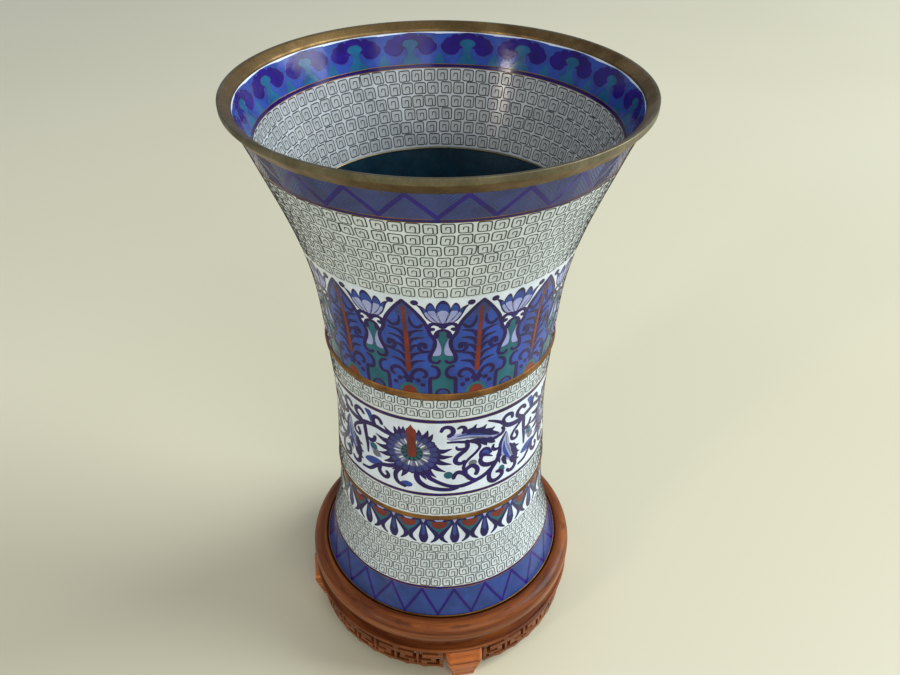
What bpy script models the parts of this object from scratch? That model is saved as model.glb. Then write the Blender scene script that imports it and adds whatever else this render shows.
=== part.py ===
"""A cloisonne beaker vase on a carved rosewood stand, at life size.

The vase is three turned copper sections, joined under two brass bands, with a brass rim and a
brass foot ring. Each decorated zone of glass enamel is a thin skin fired on to the copper, outside
and inside. The vase stands loose in the recess of a wooden stand, so it lifts straight out.

The origin is at the middle of the stand, level with the soles of its feet, and +Z is up. One foot
of the stand points along -Y. Sizes are in millimetres, and they become metres as meshes are made.
"""
import math

import bmesh
import bpy
import numpy as np
from mathutils import Matrix

MM = 0.001
GAP = 0.3                   # clearance between pieces that touch
SIDES = 28                  # flats round every turned piece
MERGE = 0.00005             # metres, under every merge distance

# Vase. Heights are above the foot line, where the vase leaves the stand.
MOUTH_RADIUS = 100.0
RIM_TOP = 299.8
RIM_LOW = 291.3
RIM_INNER_RADIUS = 94.35
RIM_INNER_TOP = 296.4
INNER_ENAMEL_TOP = 295.3
FOOT_RING_RADIUS = 76.0
FOOT_RING_WIDTH = 3.6
FOOT_RING_TOP = 0.6
ENAMEL = 0.6                # thickness of the outer enamel
COPPER = 0.8                # thickness of the copper wall
LINING = 0.5                # thickness of the inner enamel
BASE_LEVEL = 4.6            # underside of the copper base
BASE_THICKNESS = 1.0

# The outer wall, as height and radius: a spreading foot, a narrow waist and a trumpet mouth.
WALL = [(-6.0, 77.8), (0.0, 75.6), (20.0, 69.6), (45.0, 64.3), (80.0, 62.4), (122.0, 60.8),
        (165.0, 63.1), (205.0, 66.8), (240.0, 75.4), (270.0, 86.4), (291.3, 94.9), (299.8, 98.7)]
# Heights where every layer of the wall has a corner, so that the layers nest.
STATIONS = [19.0, 36.6, 52.6, 73.7, 90.8, 118.7, 147.0, 163.65, 197.2, 228.5, 251.9, 275.3, 291.3]

# Brass bands over the two joints, as lowest and highest edge, and how far they stand proud.
LOWER_BAND = (72.0, 75.4)
UPPER_BAND = (161.3, 166.0)
LOWER_BAND_PROUD = 0.5
UPPER_BAND_PROUD = 0.9

# Enamel zones outside, bottom to top: name, lowest edge, highest edge, colour.
OUTER_ZONES = [
    ("enamel_zigzag_foot", 0.9, 19.0, "blue_enamel"),
    ("enamel_border_foot", 19.0, 20.7, "purple_enamel"),
    ("enamel_key_fret_foot", 20.7, 52.6, "celadon_enamel"),
    ("enamel_petal_collar", 52.6, 72.0, "white_enamel"),
    ("enamel_key_fret_waist_lower", 75.4, 90.8, "celadon_enamel"),
    ("enamel_border_lotus_lower", 90.8, 92.8, "purple_enamel"),
    ("enamel_lotus_scroll", 92.8, 144.6, "white_enamel"),
    ("enamel_border_lotus_upper", 144.6, 147.0, "purple_enamel"),
    ("enamel_key_fret_waist_upper", 147.0, 161.3, "celadon_enamel"),
    ("enamel_leaf_band", 166.0, 228.5, "blue_enamel"),
    ("enamel_key_fret_mouth", 228.5, 275.3, "celadon_enamel"),
    ("enamel_border_mouth", 275.3, 277.2, "purple_enamel"),
    ("enamel_zigzag_mouth", 277.2, RIM_LOW, "blue_enamel"),
]
# Enamel zones inside the mouth, bottom to top.
LINING_TOP = 236.0
INNER_ZONES = [
    ("inner_gilt_line", LINING_TOP, 237.2, "gilt_brass"),
    ("inner_key_fret", 237.2, 277.6, "celadon_enamel"),
    ("inner_border", 277.6, 279.6, "purple_enamel"),
    ("inner_cloud_band", 279.6, INNER_ENAMEL_TOP, "blue_enamel"),
]

# Stand. Heights are above the soles of the feet.
STAND_HEIGHT = 52.0
RECESS_DEPTH = 5.0
RECESS_RADIUS = 77.0
RING_RADIUS = 85.6          # widest part of the bullnose
RING_BOTTOM = 35.0
BOARD_RADIUS = 80.0
BOARD_THICKNESS = 6.0
WAIST_RADIUS = 78.6
WAIST_INNER_RADIUS = 69.0
BEAD_RADIUS = 85.5
BEAD_HEIGHT = 29.2
BEAD_HALF = 1.2
APRON_RADIUS = 81.0         # middle of the apron's thickness
APRON_THICKNESS = 4.0
APRON_BOTTOM = 9.2
APRON_RAIL = 3.4
APRON_OPENINGS = 7
APRON_BAR = 4.5             # upright bars between the openings
FOOT_COUNT = 4
FOOT_WIDTH = 23.0
SOLE_WIDTH = 15.0
FOOT_INNER_RADIUS = 69.5
FOOT_ROUNDING = 1.2
DOWEL_RADIUS = 3.0
DOWEL_PLACE = 74.5          # distance of a dowel from the axis
DOWEL_SPAN = (20.0, 36.0)
DOWEL_SIDES = 12

SEAT_LEVEL = STAND_HEIGHT - RECESS_DEPTH
BEAD_BOTTOM = BEAD_HEIGHT - BEAD_HALF
FOOT_TOP = BEAD_BOTTOM - GAP

# name: colour, roughness, metallic
MATERIALS = {
    "gilt_brass": ((0.62, 0.44, 0.16), 0.32, 1.0),
    "copper": ((0.72, 0.38, 0.25), 0.38, 1.0),
    "blue_enamel": ((0.055, 0.10, 0.42), 0.16, 0.0),
    "purple_enamel": ((0.06, 0.03, 0.12), 0.18, 0.0),
    "celadon_enamel": ((0.66, 0.72, 0.70), 0.16, 0.0),
    "white_enamel": ((0.82, 0.84, 0.86), 0.16, 0.0),
    "teal_enamel": ((0.05, 0.16, 0.17), 0.20, 0.0),
    "rosewood": ((0.20, 0.065, 0.03), 0.30, 0.0),
}


def clear_scene():
    for thing in list(bpy.data.objects):
        bpy.data.objects.remove(thing, do_unlink=True)


def make_collection(name):
    collection = bpy.data.collections.new(name)
    bpy.context.scene.collection.children.link(collection)
    return collection


def make_material(name):
    colour, roughness, metallic = MATERIALS[name]
    material = bpy.data.materials.new(name)
    material.use_nodes = True
    shader = material.node_tree.nodes["Principled BSDF"]
    shader.inputs["Base Color"].default_value = (*colour, 1.0)
    shader.inputs["Roughness"].default_value = roughness
    shader.inputs["Metallic"].default_value = metallic
    return material


def add_piece(name, mesh, material, parent):
    piece = bpy.data.objects.new(name, mesh)
    parts.objects.link(piece)
    piece.parent = parent
    mesh.materials.append(materials[material])
    return piece


# Profiles

def spline_second_derivatives(knots):
    """Second derivatives of the natural cubic spline through (x, y) knots."""
    x = np.array([knot[0] for knot in knots])
    y = np.array([knot[1] for knot in knots])
    step = np.diff(x)
    slope = np.diff(y) / step
    count = len(x)
    system = np.eye(count)
    right = np.zeros(count)
    for i in range(1, count - 1):
        system[i, i - 1:i + 2] = step[i - 1], 2 * (step[i - 1] + step[i]), step[i]
        right[i] = 6 * (slope[i] - slope[i - 1])
    return np.linalg.solve(system, right)


WALL_BEND = spline_second_derivatives(WALL)


def wall_radius(height):
    """Radius of the vase's outer surface at a height above the foot line."""
    i = sum(knot[0] < height for knot in WALL[1:-1])
    (x0, y0), (x1, y1) = WALL[i], WALL[i + 1]
    span = x1 - x0
    a = (x1 - height) / span
    b = 1 - a
    bend = (a ** 3 - a) * WALL_BEND[i] + (b ** 3 - b) * WALL_BEND[i + 1]
    return a * y0 + b * y1 + bend * span ** 2 / 6


def layer(low, high, depth, thickness):
    """Outline of one layer of the wall between two heights, its outer face `depth` inside the wall."""
    heights = [low] + [h for h in STATIONS if low + 0.5 < h < high - 0.5] + [high]
    outer = [(wall_radius(h) - depth, h) for h in reversed(heights)]
    inner = [(wall_radius(h) - depth - thickness, h) for h in heights]
    return outer + inner


def turned(name, outline, material, parent, closed=True):
    """Turn an outline of (radius, height) points about Z. It runs down its outer side first."""
    points = [(radius * MM, 0.0, height * MM) for radius, height in outline]
    count = len(points)
    edges = [(i, (i + 1) % count) for i in range(count if closed else count - 1)]
    mesh = bpy.data.meshes.new(name)
    mesh.from_pydata(points, edges, [])
    piece = add_piece(name, mesh, material, parent)
    screw = piece.modifiers.new("turn", "SCREW")
    screw.axis = "Z"
    screw.steps = SIDES
    screw.render_steps = SIDES
    screw.use_merge_vertices = True
    screw.merge_threshold = MERGE
    return piece


def disc(name, radius, bottom, top, material, parent):
    """A round plate: its outline starts and ends on the axis."""
    outline = [(0.0, top), (radius, top), (radius, bottom), (0.0, bottom)]
    return turned(name, outline, material, parent, closed=False)


def bezier(start, pull_start, pull_end, end, steps):
    """Points along a cubic curve, both ends included."""
    points = []
    for i in range(steps + 1):
        t = i / steps
        weights = ((1 - t) ** 3, 3 * (1 - t) ** 2 * t, 3 * (1 - t) * t ** 2, t ** 3)
        corners = (start, pull_start, pull_end, end)
        points.append(tuple(sum(w * c[k] for w, c in zip(weights, corners)) for k in range(2)))
    return points


# Vase

def copper_wall(name, low, high):
    depth = ENAMEL + GAP
    return turned(name, layer(low, high, depth, COPPER), "copper", vase)


def joint_band(name, span, proud):
    """A half-round brass band that covers a joint between two copper sections."""
    low, high = span[0] + GAP / 2, span[1] - GAP / 2
    middle = (low + high) / 2
    shoulder = (high - low) * 0.3
    inner = ENAMEL
    outline = [
        (wall_radius(high) + proud * 0.3, high),
        (wall_radius(middle + shoulder) + proud * 0.85, middle + shoulder),
        (wall_radius(middle) + proud, middle),
        (wall_radius(middle - shoulder) + proud * 0.85, middle - shoulder),
        (wall_radius(low) + proud * 0.3, low),
        (wall_radius(low) - inner, low),
        (wall_radius(high) - inner, high),
    ]
    return turned(name, outline, "gilt_brass", vase)


def mouth_rim():
    """A brass rim: its skirt wraps the top of the copper, and its top face falls inward."""
    low = RIM_LOW + GAP / 2
    lip = INNER_ENAMEL_TOP + GAP / 2
    outline = [
        (MOUTH_RADIUS - 0.5, RIM_TOP),
        (MOUTH_RADIUS, RIM_TOP - 0.5),
        (wall_radius(low) + 0.3, low),
        (wall_radius(low) - ENAMEL, low),
        (wall_radius(lip) - ENAMEL, lip),
        (wall_radius(lip) - ENAMEL - COPPER - LINING - 2 * GAP, lip),
        (RIM_INNER_RADIUS, RIM_INNER_TOP),
    ]
    return turned("mouth_rim", outline, "gilt_brass", vase)


def foot_ring():
    low = GAP - RECESS_DEPTH
    inner = FOOT_RING_RADIUS - FOOT_RING_WIDTH
    outline = [
        (FOOT_RING_RADIUS - 0.3, FOOT_RING_TOP),
        (FOOT_RING_RADIUS, FOOT_RING_TOP - 0.6),
        (FOOT_RING_RADIUS, low),
        (inner, low),
        (inner, FOOT_RING_TOP),
    ]
    return turned("foot_ring", outline, "gilt_brass", vase)


def base():
    """The copper base, with the enamel on its underside."""
    copper_radius = wall_radius(BASE_LEVEL + BASE_THICKNESS) - ENAMEL - COPPER - 3 * GAP
    disc("base_plate", copper_radius, BASE_LEVEL, BASE_LEVEL + BASE_THICKNESS, "copper", vase)
    enamel_top = BASE_LEVEL - GAP
    disc("base_enamel", copper_radius - GAP, enamel_top - ENAMEL, enamel_top, "teal_enamel", vase)


def plain_lining():
    """The plain enamel inside, a deep cup with a flat floor."""
    depth = ENAMEL + COPPER + 2 * GAP
    floor = BASE_LEVEL + BASE_THICKNESS + GAP
    high = LINING_TOP - GAP / 2
    heights = [floor] + [h for h in STATIONS if h < high - 0.5] + [high]
    outer = [(wall_radius(h) - depth, h) for h in reversed(heights)]
    heights[0] += LINING
    inner = [(wall_radius(h) - depth - LINING, h) for h in heights]
    outline = outer + [(0.0, floor)]
    outline = [(0.0, floor + LINING)] + inner + outline
    return turned("plain_lining", outline, "teal_enamel", vase, closed=False)


def build_vase():
    upper_joint = sum(UPPER_BAND) / 2
    lower_joint = sum(LOWER_BAND) / 2
    mouth_rim()
    copper_wall("trumpet_shell", upper_joint + GAP / 2, INNER_ENAMEL_TOP - GAP / 2)
    joint_band("upper_joint_band", UPPER_BAND, UPPER_BAND_PROUD)
    copper_wall("waist_shell", lower_joint + GAP / 2, upper_joint - GAP / 2)
    joint_band("lower_joint_band", LOWER_BAND, LOWER_BAND_PROUD)
    copper_wall("foot_shell", FOOT_RING_TOP + GAP, lower_joint - GAP / 2)
    foot_ring()
    base()
    for name, low, high, material in OUTER_ZONES:
        turned(name, layer(low + GAP / 2, high - GAP / 2, 0.0, ENAMEL), material, vase)
    depth = ENAMEL + COPPER + 2 * GAP
    for name, low, high, material in INNER_ZONES:
        turned(name, layer(low + GAP / 2, high - GAP / 2, depth, LINING), material, vase)
    plain_lining()


# Stand

def top_ring():
    """A bullnose ring with the recess for the vase. A rebate under it holds the floor board."""
    rebate = BOARD_RADIUS + GAP
    outer = bezier((RECESS_RADIUS + 1.6, STAND_HEIGHT), (RING_RADIUS - 0.6, STAND_HEIGHT),
                   (RING_RADIUS, SEAT_LEVEL), (RING_RADIUS, 43.0), 4)
    under = bezier((RING_RADIUS, 43.0), (RING_RADIUS, RING_BOTTOM + 2.5),
                   (RING_RADIUS - 1.6, RING_BOTTOM), (rebate + 1.4, RING_BOTTOM), 3)
    inside = [
        (rebate, RING_BOTTOM),
        (rebate, SEAT_LEVEL + GAP),
        (RECESS_RADIUS, SEAT_LEVEL + GAP),
        (RECESS_RADIUS, STAND_HEIGHT - 0.8),
    ]
    return turned("stand_top_ring", outer + under[1:] + inside, "rosewood", stand)


def waist_ring():
    """A hollow moulding under the top ring, with a bead round its foot, drilled for the dowels."""
    top = SEAT_LEVEL - BOARD_THICKNESS - GAP
    hollow = bezier((WAIST_RADIUS, RING_BOTTOM), (WAIST_RADIUS - 0.8, RING_BOTTOM - 2.5),
                    (WAIST_RADIUS, BEAD_HEIGHT + BEAD_HALF), (BEAD_RADIUS - 2.4, BEAD_HEIGHT + BEAD_HALF), 3)
    bead = [(BEAD_RADIUS - 0.5, BEAD_HEIGHT + 0.9), (BEAD_RADIUS, BEAD_HEIGHT),
            (BEAD_RADIUS - 0.5, BEAD_HEIGHT - 0.9), (BEAD_RADIUS - 1.6, BEAD_BOTTOM)]
    outline = [(WAIST_RADIUS, top)] + hollow + bead
    outline += [(WAIST_INNER_RADIUS, BEAD_BOTTOM), (WAIST_INNER_RADIUS, top)]
    ring = turned("stand_waist_ring", outline, "rosewood", stand)
    drill(ring, FOOT_COUNT)
    return ring


def floor_board():
    return disc("stand_floor_board", BOARD_RADIUS, SEAT_LEVEL - BOARD_THICKNESS, SEAT_LEVEL,
                "rosewood", stand)


def cylinder(name, radius, low, high, collection):
    """An upright cylinder that stands where the first dowel does."""
    shape = bmesh.new()
    place = Matrix.Translation((0, -DOWEL_PLACE * MM, (low + high) / 2 * MM))
    bmesh.ops.create_cone(shape, cap_ends=True, segments=DOWEL_SIDES, radius1=radius * MM,
                          radius2=radius * MM, depth=(high - low) * MM, matrix=place)
    mesh = bpy.data.meshes.new(name)
    shape.to_mesh(mesh)
    shape.free()
    piece = bpy.data.objects.new(name, mesh)
    collection.objects.link(piece)
    return piece


def drill(piece, count):
    """Cut the dowel holes: `count` of them, evenly round the axis from -Y."""
    for i in range(count):
        low, high = DOWEL_SPAN
        cutter = cylinder("dowel_hole", DOWEL_RADIUS + GAP, low - GAP, high + GAP, cutters)
        cutter.rotation_euler.z = math.tau * i / FOOT_COUNT
        cutter.parent = stand if count > 1 else piece
        cutter.hide_render = True
        cutter.display_type = "WIRE"
        cut = piece.modifiers.new("dowel_hole", "BOOLEAN")
        cut.operation = "DIFFERENCE"
        cut.solver = "EXACT"
        cut.object = cutter


def flat_plate(name, loop, thickness):
    """A flat plate in the XY plane, with the loop as its edge."""
    curve = bpy.data.curves.new(name, "CURVE")
    curve.dimensions = "2D"
    curve.fill_mode = "BOTH"
    curve.extrude = thickness / 2 * MM
    spline = curve.splines.new("POLY")
    spline.points.add(len(loop) - 1)
    spline.use_cyclic_u = True
    for point, (x, y) in zip(spline.points, loop):
        point.co = (x * MM, y * MM, 0.0, 1.0)
    outline = bpy.data.objects.new(name, curve)
    cutters.objects.link(outline)
    depsgraph = bpy.context.evaluated_depsgraph_get()
    mesh = bpy.data.meshes.new_from_object(outline.evaluated_get(depsgraph))
    bpy.data.objects.remove(outline, do_unlink=True)
    shape = bmesh.new()
    shape.from_mesh(mesh)
    bmesh.ops.remove_doubles(shape, verts=shape.verts, dist=MERGE)
    bmesh.ops.recalc_face_normals(shape, faces=shape.faces)
    shape.to_mesh(mesh)
    shape.free()
    return mesh


def foot_mesh():
    """A carved foot seen from its side, X outward and Y up, narrower towards its sole."""
    knee = bezier((85.0, FOOT_TOP), (92.0, 20.0), (85.0, 8.0), (83.5, 0.0), 8)
    back = bezier((77.0, 0.0), (76.0, 8.0), (71.0, 11.0), (FOOT_INNER_RADIUS, 18.0), 4)
    mesh = flat_plate("foot", knee + back + [(FOOT_INNER_RADIUS, FOOT_TOP)], FOOT_WIDTH)
    for vertex in mesh.vertices:
        share = vertex.co.y / (FOOT_TOP * MM)
        narrow = SOLE_WIDTH / FOOT_WIDTH
        vertex.co.z *= narrow + (1 - narrow) * min(1.0, share * 1.6)
    # X outward and Y up become -Y and Z, for the foot that points along -Y.
    mesh.transform(Matrix(((0, 0, -1, 0), (-1, 0, 0, 0), (0, 1, 0, 0), (0, 0, 0, 1))))
    return mesh


def feet():
    for i in range(FOOT_COUNT):
        foot = add_piece(f"stand_foot_{i + 1}", foot_mesh(), "rosewood", stand)
        foot.rotation_euler.z = math.tau * i / FOOT_COUNT
        drill(foot, 1)
        rounding = foot.modifiers.new("rounding", "BEVEL")
        rounding.width = FOOT_ROUNDING * MM
        rounding.segments = 1
        rounding.limit_method = "ANGLE"
        rounding.angle_limit = math.radians(50)
        # The hole is cut last, so that only the carved edges are rounded.
        foot.modifiers.move(1, 0)


def dowels():
    for i in range(FOOT_COUNT):
        dowel = cylinder(f"foot_dowel_{i + 1}", DOWEL_RADIUS, *DOWEL_SPAN, parts)
        dowel.data.materials.append(materials["rosewood"])
        dowel.rotation_euler.z = math.tau * i / FOOT_COUNT
        dowel.parent = stand


def apron_mesh():
    """One span of openwork apron: a grid bent round the stand, with the openings left out."""
    foot_half = math.asin((FOOT_WIDTH / 2 + 2 * GAP) / (APRON_RADIUS - APRON_THICKNESS / 2))
    half = math.pi / FOOT_COUNT - foot_half
    bar = APRON_BAR / APRON_RADIUS
    opening = (2 * half - bar * (APRON_OPENINGS + 1)) / APRON_OPENINGS
    columns = [-half]
    for i in range(APRON_OPENINGS):
        columns += [columns[-1] + bar, columns[-1] + bar + opening]
    columns.append(half)
    rows = [APRON_BOTTOM, APRON_BOTTOM + APRON_RAIL, FOOT_TOP - APRON_RAIL, FOOT_TOP]
    shape = bmesh.new()
    across, up = len(columns) - 1, len(rows) - 1
    bmesh.ops.create_grid(shape, x_segments=across, y_segments=up, size=1)
    places = {}
    for vertex in shape.verts:
        places[vertex] = round((vertex.co.x + 1) / 2 * across), round((vertex.co.y + 1) / 2 * up)
    holes = []
    for face in shape.faces:
        column = min(places[vertex][0] for vertex in face.verts)
        row = min(places[vertex][1] for vertex in face.verts)
        if column % 2 == 1 and row == 1:
            holes.append(face)
    for vertex, (column, row) in places.items():
        angle = columns[column]
        vertex.co = (math.sin(angle) * APRON_RADIUS * MM, -math.cos(angle) * APRON_RADIUS * MM, rows[row] * MM)
    bmesh.ops.delete(shape, geom=holes, context="FACES")
    mesh = bpy.data.meshes.new("apron")
    shape.to_mesh(mesh)
    shape.free()
    return mesh


def aprons():
    for i in range(FOOT_COUNT):
        apron = add_piece(f"stand_apron_{i + 1}", apron_mesh(), "rosewood", stand)
        apron.rotation_euler.z = math.tau * (i + 0.5) / FOOT_COUNT
        thickness = apron.modifiers.new("thickness", "SOLIDIFY")
        thickness.thickness = APRON_THICKNESS * MM
        thickness.offset = 0.0
        thickness.use_even_offset = True


def build_stand():
    top_ring()
    floor_board()
    waist_ring()
    aprons()
    feet()
    dowels()


clear_scene()
parts = make_collection("cloisonne_vase")
cutters = make_collection("cutters")
materials = {name: make_material(name) for name in MATERIALS}
stand = bpy.data.objects.new("stand", None)
parts.objects.link(stand)
# The vase lifts along its own axis, from the foot line.
vase = bpy.data.objects.new("vase", None)
vase.location.z = STAND_HEIGHT * MM
parts.objects.link(vase)
build_vase()
build_stand()
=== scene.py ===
"""Looks of the cloisonne vase and its carved stand: enamel, wires, brass, carved wood and light.

Every decorated zone is drawn flat, in degrees round the vase and millimetres above its foot line,
then cut along its outlines and bent on to the wall. Degrees are counted from the camera's side,
positive to the right. Lengths are in millimetres until a mesh is made.
"""
import math

import bmesh
import bpy
import numpy as np
from mathutils import Matrix, Vector, geometry


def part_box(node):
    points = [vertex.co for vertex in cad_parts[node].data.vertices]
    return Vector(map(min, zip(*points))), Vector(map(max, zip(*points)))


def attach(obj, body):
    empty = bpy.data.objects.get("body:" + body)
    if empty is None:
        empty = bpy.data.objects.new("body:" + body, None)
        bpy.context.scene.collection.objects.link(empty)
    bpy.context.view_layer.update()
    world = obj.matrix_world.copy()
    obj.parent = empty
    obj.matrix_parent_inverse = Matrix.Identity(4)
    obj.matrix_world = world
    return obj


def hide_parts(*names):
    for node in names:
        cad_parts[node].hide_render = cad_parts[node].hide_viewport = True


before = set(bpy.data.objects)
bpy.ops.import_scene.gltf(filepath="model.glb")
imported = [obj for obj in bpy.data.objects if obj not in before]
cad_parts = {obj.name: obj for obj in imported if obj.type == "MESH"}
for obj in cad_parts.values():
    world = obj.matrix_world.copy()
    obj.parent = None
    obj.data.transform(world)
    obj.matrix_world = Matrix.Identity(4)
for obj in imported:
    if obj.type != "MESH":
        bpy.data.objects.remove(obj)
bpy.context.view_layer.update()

MM = 0.001
chance = np.random.default_rng(7)

FOOT_LINE = 52.0            # the vase's foot line, above the soles of the stand
FRONT = math.radians(9.4)   # from the camera's side to the stand's front foot
JOIN = 0.15                 # half of the gap that the CAD model leaves between zones
LINING_DEPTH = 2.5          # from the outer face of the wall to its inner face
ROUND = 224                 # flats round every turned piece
SPACING = 2.6               # largest spacing of the points of an enamel skin
OUTLINE_WIRE = 0.13         # width of the gilt wires
FRET_WIRE = 0.66            # width of the wires of the key frets
BORDER_WIRE = 0.42          # width of the brass wires beside the border lines
CHEVRON_WIRE = 0.3          # width of the fine wires inside the zigzags
PROUD = 0.11                # how far a wire's crown stands above the enamel
FRET_PROUD = 0.2            # the same for the key frets' wires
BORDER_PROUD = 0.16         # the same for the wires beside the border lines
SUNK = 0.03                 # how far a wire's edges lie under it
PANE_LIFT = 0.03            # how far the enamel inside a fret's spiral stands above the ground

# The outer wall, as height above the foot line and radius.
WALL = [(-6.0, 77.8), (0.0, 75.6), (20.0, 69.6), (45.0, 64.3), (80.0, 62.4), (122.0, 60.8),
        (165.0, 63.1), (205.0, 66.8), (240.0, 75.4), (270.0, 86.4), (291.3, 94.9), (299.8, 98.7)]


# The wall's shape

def spline_samples(knots, spacing):
    """Heights and radii along the natural cubic spline through the knots, closely spaced."""
    x, y = np.array(knots).T
    step = np.diff(x)
    slope = np.diff(y) / step
    system = np.eye(len(x))
    right = np.zeros(len(x))
    for i in range(1, len(x) - 1):
        system[i, i - 1:i + 2] = step[i - 1], 2 * (step[i - 1] + step[i]), step[i]
        right[i] = 6 * (slope[i] - slope[i - 1])
    bend = np.linalg.solve(system, right)
    heights = np.arange(x[0], x[-1], spacing)
    i = np.clip(np.searchsorted(x, heights, side="right") - 1, 0, len(step) - 1)
    a = (x[i + 1] - heights) / step[i]
    b = 1 - a
    curve = (a ** 3 - a) * bend[i] + (b ** 3 - b) * bend[i + 1]
    return heights, a * y[i] + b * y[i + 1] + curve * step[i] ** 2 / 6


LEVELS, RADII = spline_samples(WALL, 0.2)
SLOPES = np.gradient(RADII, LEVELS)


def wall_radius(height):
    return float(np.interp(height, LEVELS, RADII))


def on_wall(degrees, heights, lift, inside):
    """Places in metres and unit normals on the wall, outside or inside the vase."""
    slope = np.interp(heights, LEVELS, SLOPES)
    length = np.sqrt(1 + slope ** 2)
    side = -1 if inside else 1
    outward = side / length
    upward = -side * slope / length
    radius = np.interp(heights, LEVELS, RADII) - (LINING_DEPTH if inside else 0)
    radius = radius + lift * outward
    z = FOOT_LINE + heights + lift * upward
    turn = np.radians(degrees) - FRONT
    places = np.stack([radius * np.sin(turn), -radius * np.cos(turn), z], axis=1) * MM
    normals = np.stack([outward * np.sin(turn), -outward * np.cos(turn), upward], axis=1)
    return places, normals


def zone(node):
    """Lowest and highest edge of a zone of the vase, above the foot line, without its gaps."""
    low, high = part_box(node)
    return low[2] / MM - FOOT_LINE - JOIN, high[2] / MM - FOOT_LINE + JOIN


# Materials

class Finish:
    """A node material under construction, with its Principled shader."""

    def __init__(self, name, roughness, metallic=0.0):
        self.material = bpy.data.materials.new(name)
        self.material.use_nodes = True
        self.nodes = self.material.node_tree.nodes
        self.links = self.material.node_tree.links
        self.shader = self.nodes["Principled BSDF"]
        self.shader.inputs["Metallic"].default_value = metallic
        self.shader.inputs["Roughness"].default_value = roughness
        self.place = self.nodes.new("ShaderNodeTexCoord").outputs["Object"]

    def set(self, socket, value):
        self.shader.inputs[socket].default_value = value

    def wire(self, output, socket):
        self.links.new(output, self.shader.inputs[socket])

    def stretch(self, scale):
        """Object coordinates, scaled along each axis."""
        node = self.nodes.new("ShaderNodeMapping")
        node.inputs["Scale"].default_value = scale
        self.links.new(self.place, node.inputs["Vector"])
        return node.outputs["Vector"]

    def noise(self, scale, detail=3.0, rough=0.5, vector=None, distortion=0.0):
        node = self.nodes.new("ShaderNodeTexNoise")
        node.inputs["Scale"].default_value = scale
        node.inputs["Detail"].default_value = detail
        node.inputs["Roughness"].default_value = rough
        node.inputs["Distortion"].default_value = distortion
        self.links.new(vector or self.place, node.inputs["Vector"])
        return node.outputs["Fac"]

    def spots(self, scale, size):
        """1 at small scattered spots and 0 between them."""
        node = self.nodes.new("ShaderNodeTexVoronoi")
        node.inputs["Scale"].default_value = scale
        self.links.new(self.place, node.inputs["Vector"])
        return self.remap(node.outputs["Distance"], size, size * 0.4)

    def ramp(self, factor, stops):
        node = self.nodes.new("ShaderNodeValToRGB")
        while len(node.color_ramp.elements) < len(stops):
            node.color_ramp.elements.new(0.5)
        for element, (position, colour) in zip(node.color_ramp.elements, stops):
            element.position = position
            element.color = (*colour, 1.0)
        self.links.new(factor, node.inputs["Fac"])
        return node.outputs["Color"]

    def remap(self, value, from_low, from_high, low=0.0, high=1.0):
        node = self.nodes.new("ShaderNodeMapRange")
        for socket, number in zip(("From Min", "From Max", "To Min", "To Max"),
                                  (from_low, from_high, low, high)):
            node.inputs[socket].default_value = number
        self.links.new(value, node.inputs["Value"])
        return node.outputs["Result"]

    def mix(self, factor, first, second, blend="MIX"):
        """Mix a colour output with another output or a plain colour."""
        node = self.nodes.new("ShaderNodeMix")
        node.data_type = "RGBA"
        node.blend_type = blend
        self.links.new(first, node.inputs["A"])
        if isinstance(second, tuple):
            node.inputs["B"].default_value = (*second, 1.0)
        else:
            self.links.new(second, node.inputs["B"])
        if isinstance(factor, float):
            node.inputs["Factor"].default_value = factor
        else:
            self.links.new(factor, node.inputs["Factor"])
        return node.outputs["Result"]

    def vector_math(self, operation, first, second=None, output="Vector"):
        node = self.nodes.new("ShaderNodeVectorMath")
        node.operation = operation
        self.links.new(first, node.inputs[0])
        if isinstance(second, tuple):
            node.inputs[1].default_value = second
        elif second is not None:
            self.links.new(second, node.inputs[1])
        return node.outputs[output]

    def bump(self, height, distance, strength=1.0, under=None):
        node = self.nodes.new("ShaderNodeBump")
        node.inputs["Strength"].default_value = strength
        node.inputs["Distance"].default_value = distance * MM
        self.links.new(height, node.inputs["Height"])
        if under is not None:
            self.links.new(under, node.inputs["Normal"])
        return node.outputs["Normal"]


def linear(red, green, blue):
    """A colour as picked on a screen, 0 to 255, as the shader's linear numbers."""
    return tuple(((v / 255 + 0.055) / 1.055) ** 2.4 if v > 10 else v / 255 / 12.92
                 for v in (red, green, blue))


def enamel(name, colour, shade, roughness=0.12):
    """Fired glass: its colour drifts, and its ground and polished face has ripples and pits."""
    finish = Finish(name, roughness)
    finish.set("IOR", 1.53)
    finish.set("Specular IOR Level", 0.22)
    drift = finish.noise(95.0, detail=5.0, rough=0.6)
    body = finish.ramp(drift, [(0.32, linear(*shade)), (0.62, linear(*colour))])
    grain = finish.remap(finish.noise(2300.0, detail=2.0), 0.3, 0.7, 0.86, 1.0)
    body = finish.mix(0.5, body, grain, blend="MULTIPLY")
    pits = finish.spots(420.0, 0.11)
    pit_colour = tuple(0.45 * value for value in linear(*shade))
    body = finish.mix(finish.remap(pits, 0.0, 1.0, 0.0, 0.5), body, pit_colour)
    finish.wire(body, "Base Color")
    polish = finish.noise(130.0, detail=4.0)
    finish.wire(finish.remap(polish, 0.3, 0.7, roughness * 0.8, roughness * 1.9), "Roughness")
    ripples = finish.bump(finish.noise(210.0, detail=2.0), 0.10, strength=0.55)
    finish.wire(finish.bump(finish.remap(pits, 0.0, 1.0, 1.0, 0.0), 0.05, 0.6, ripples), "Normal")
    return finish.material


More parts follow.
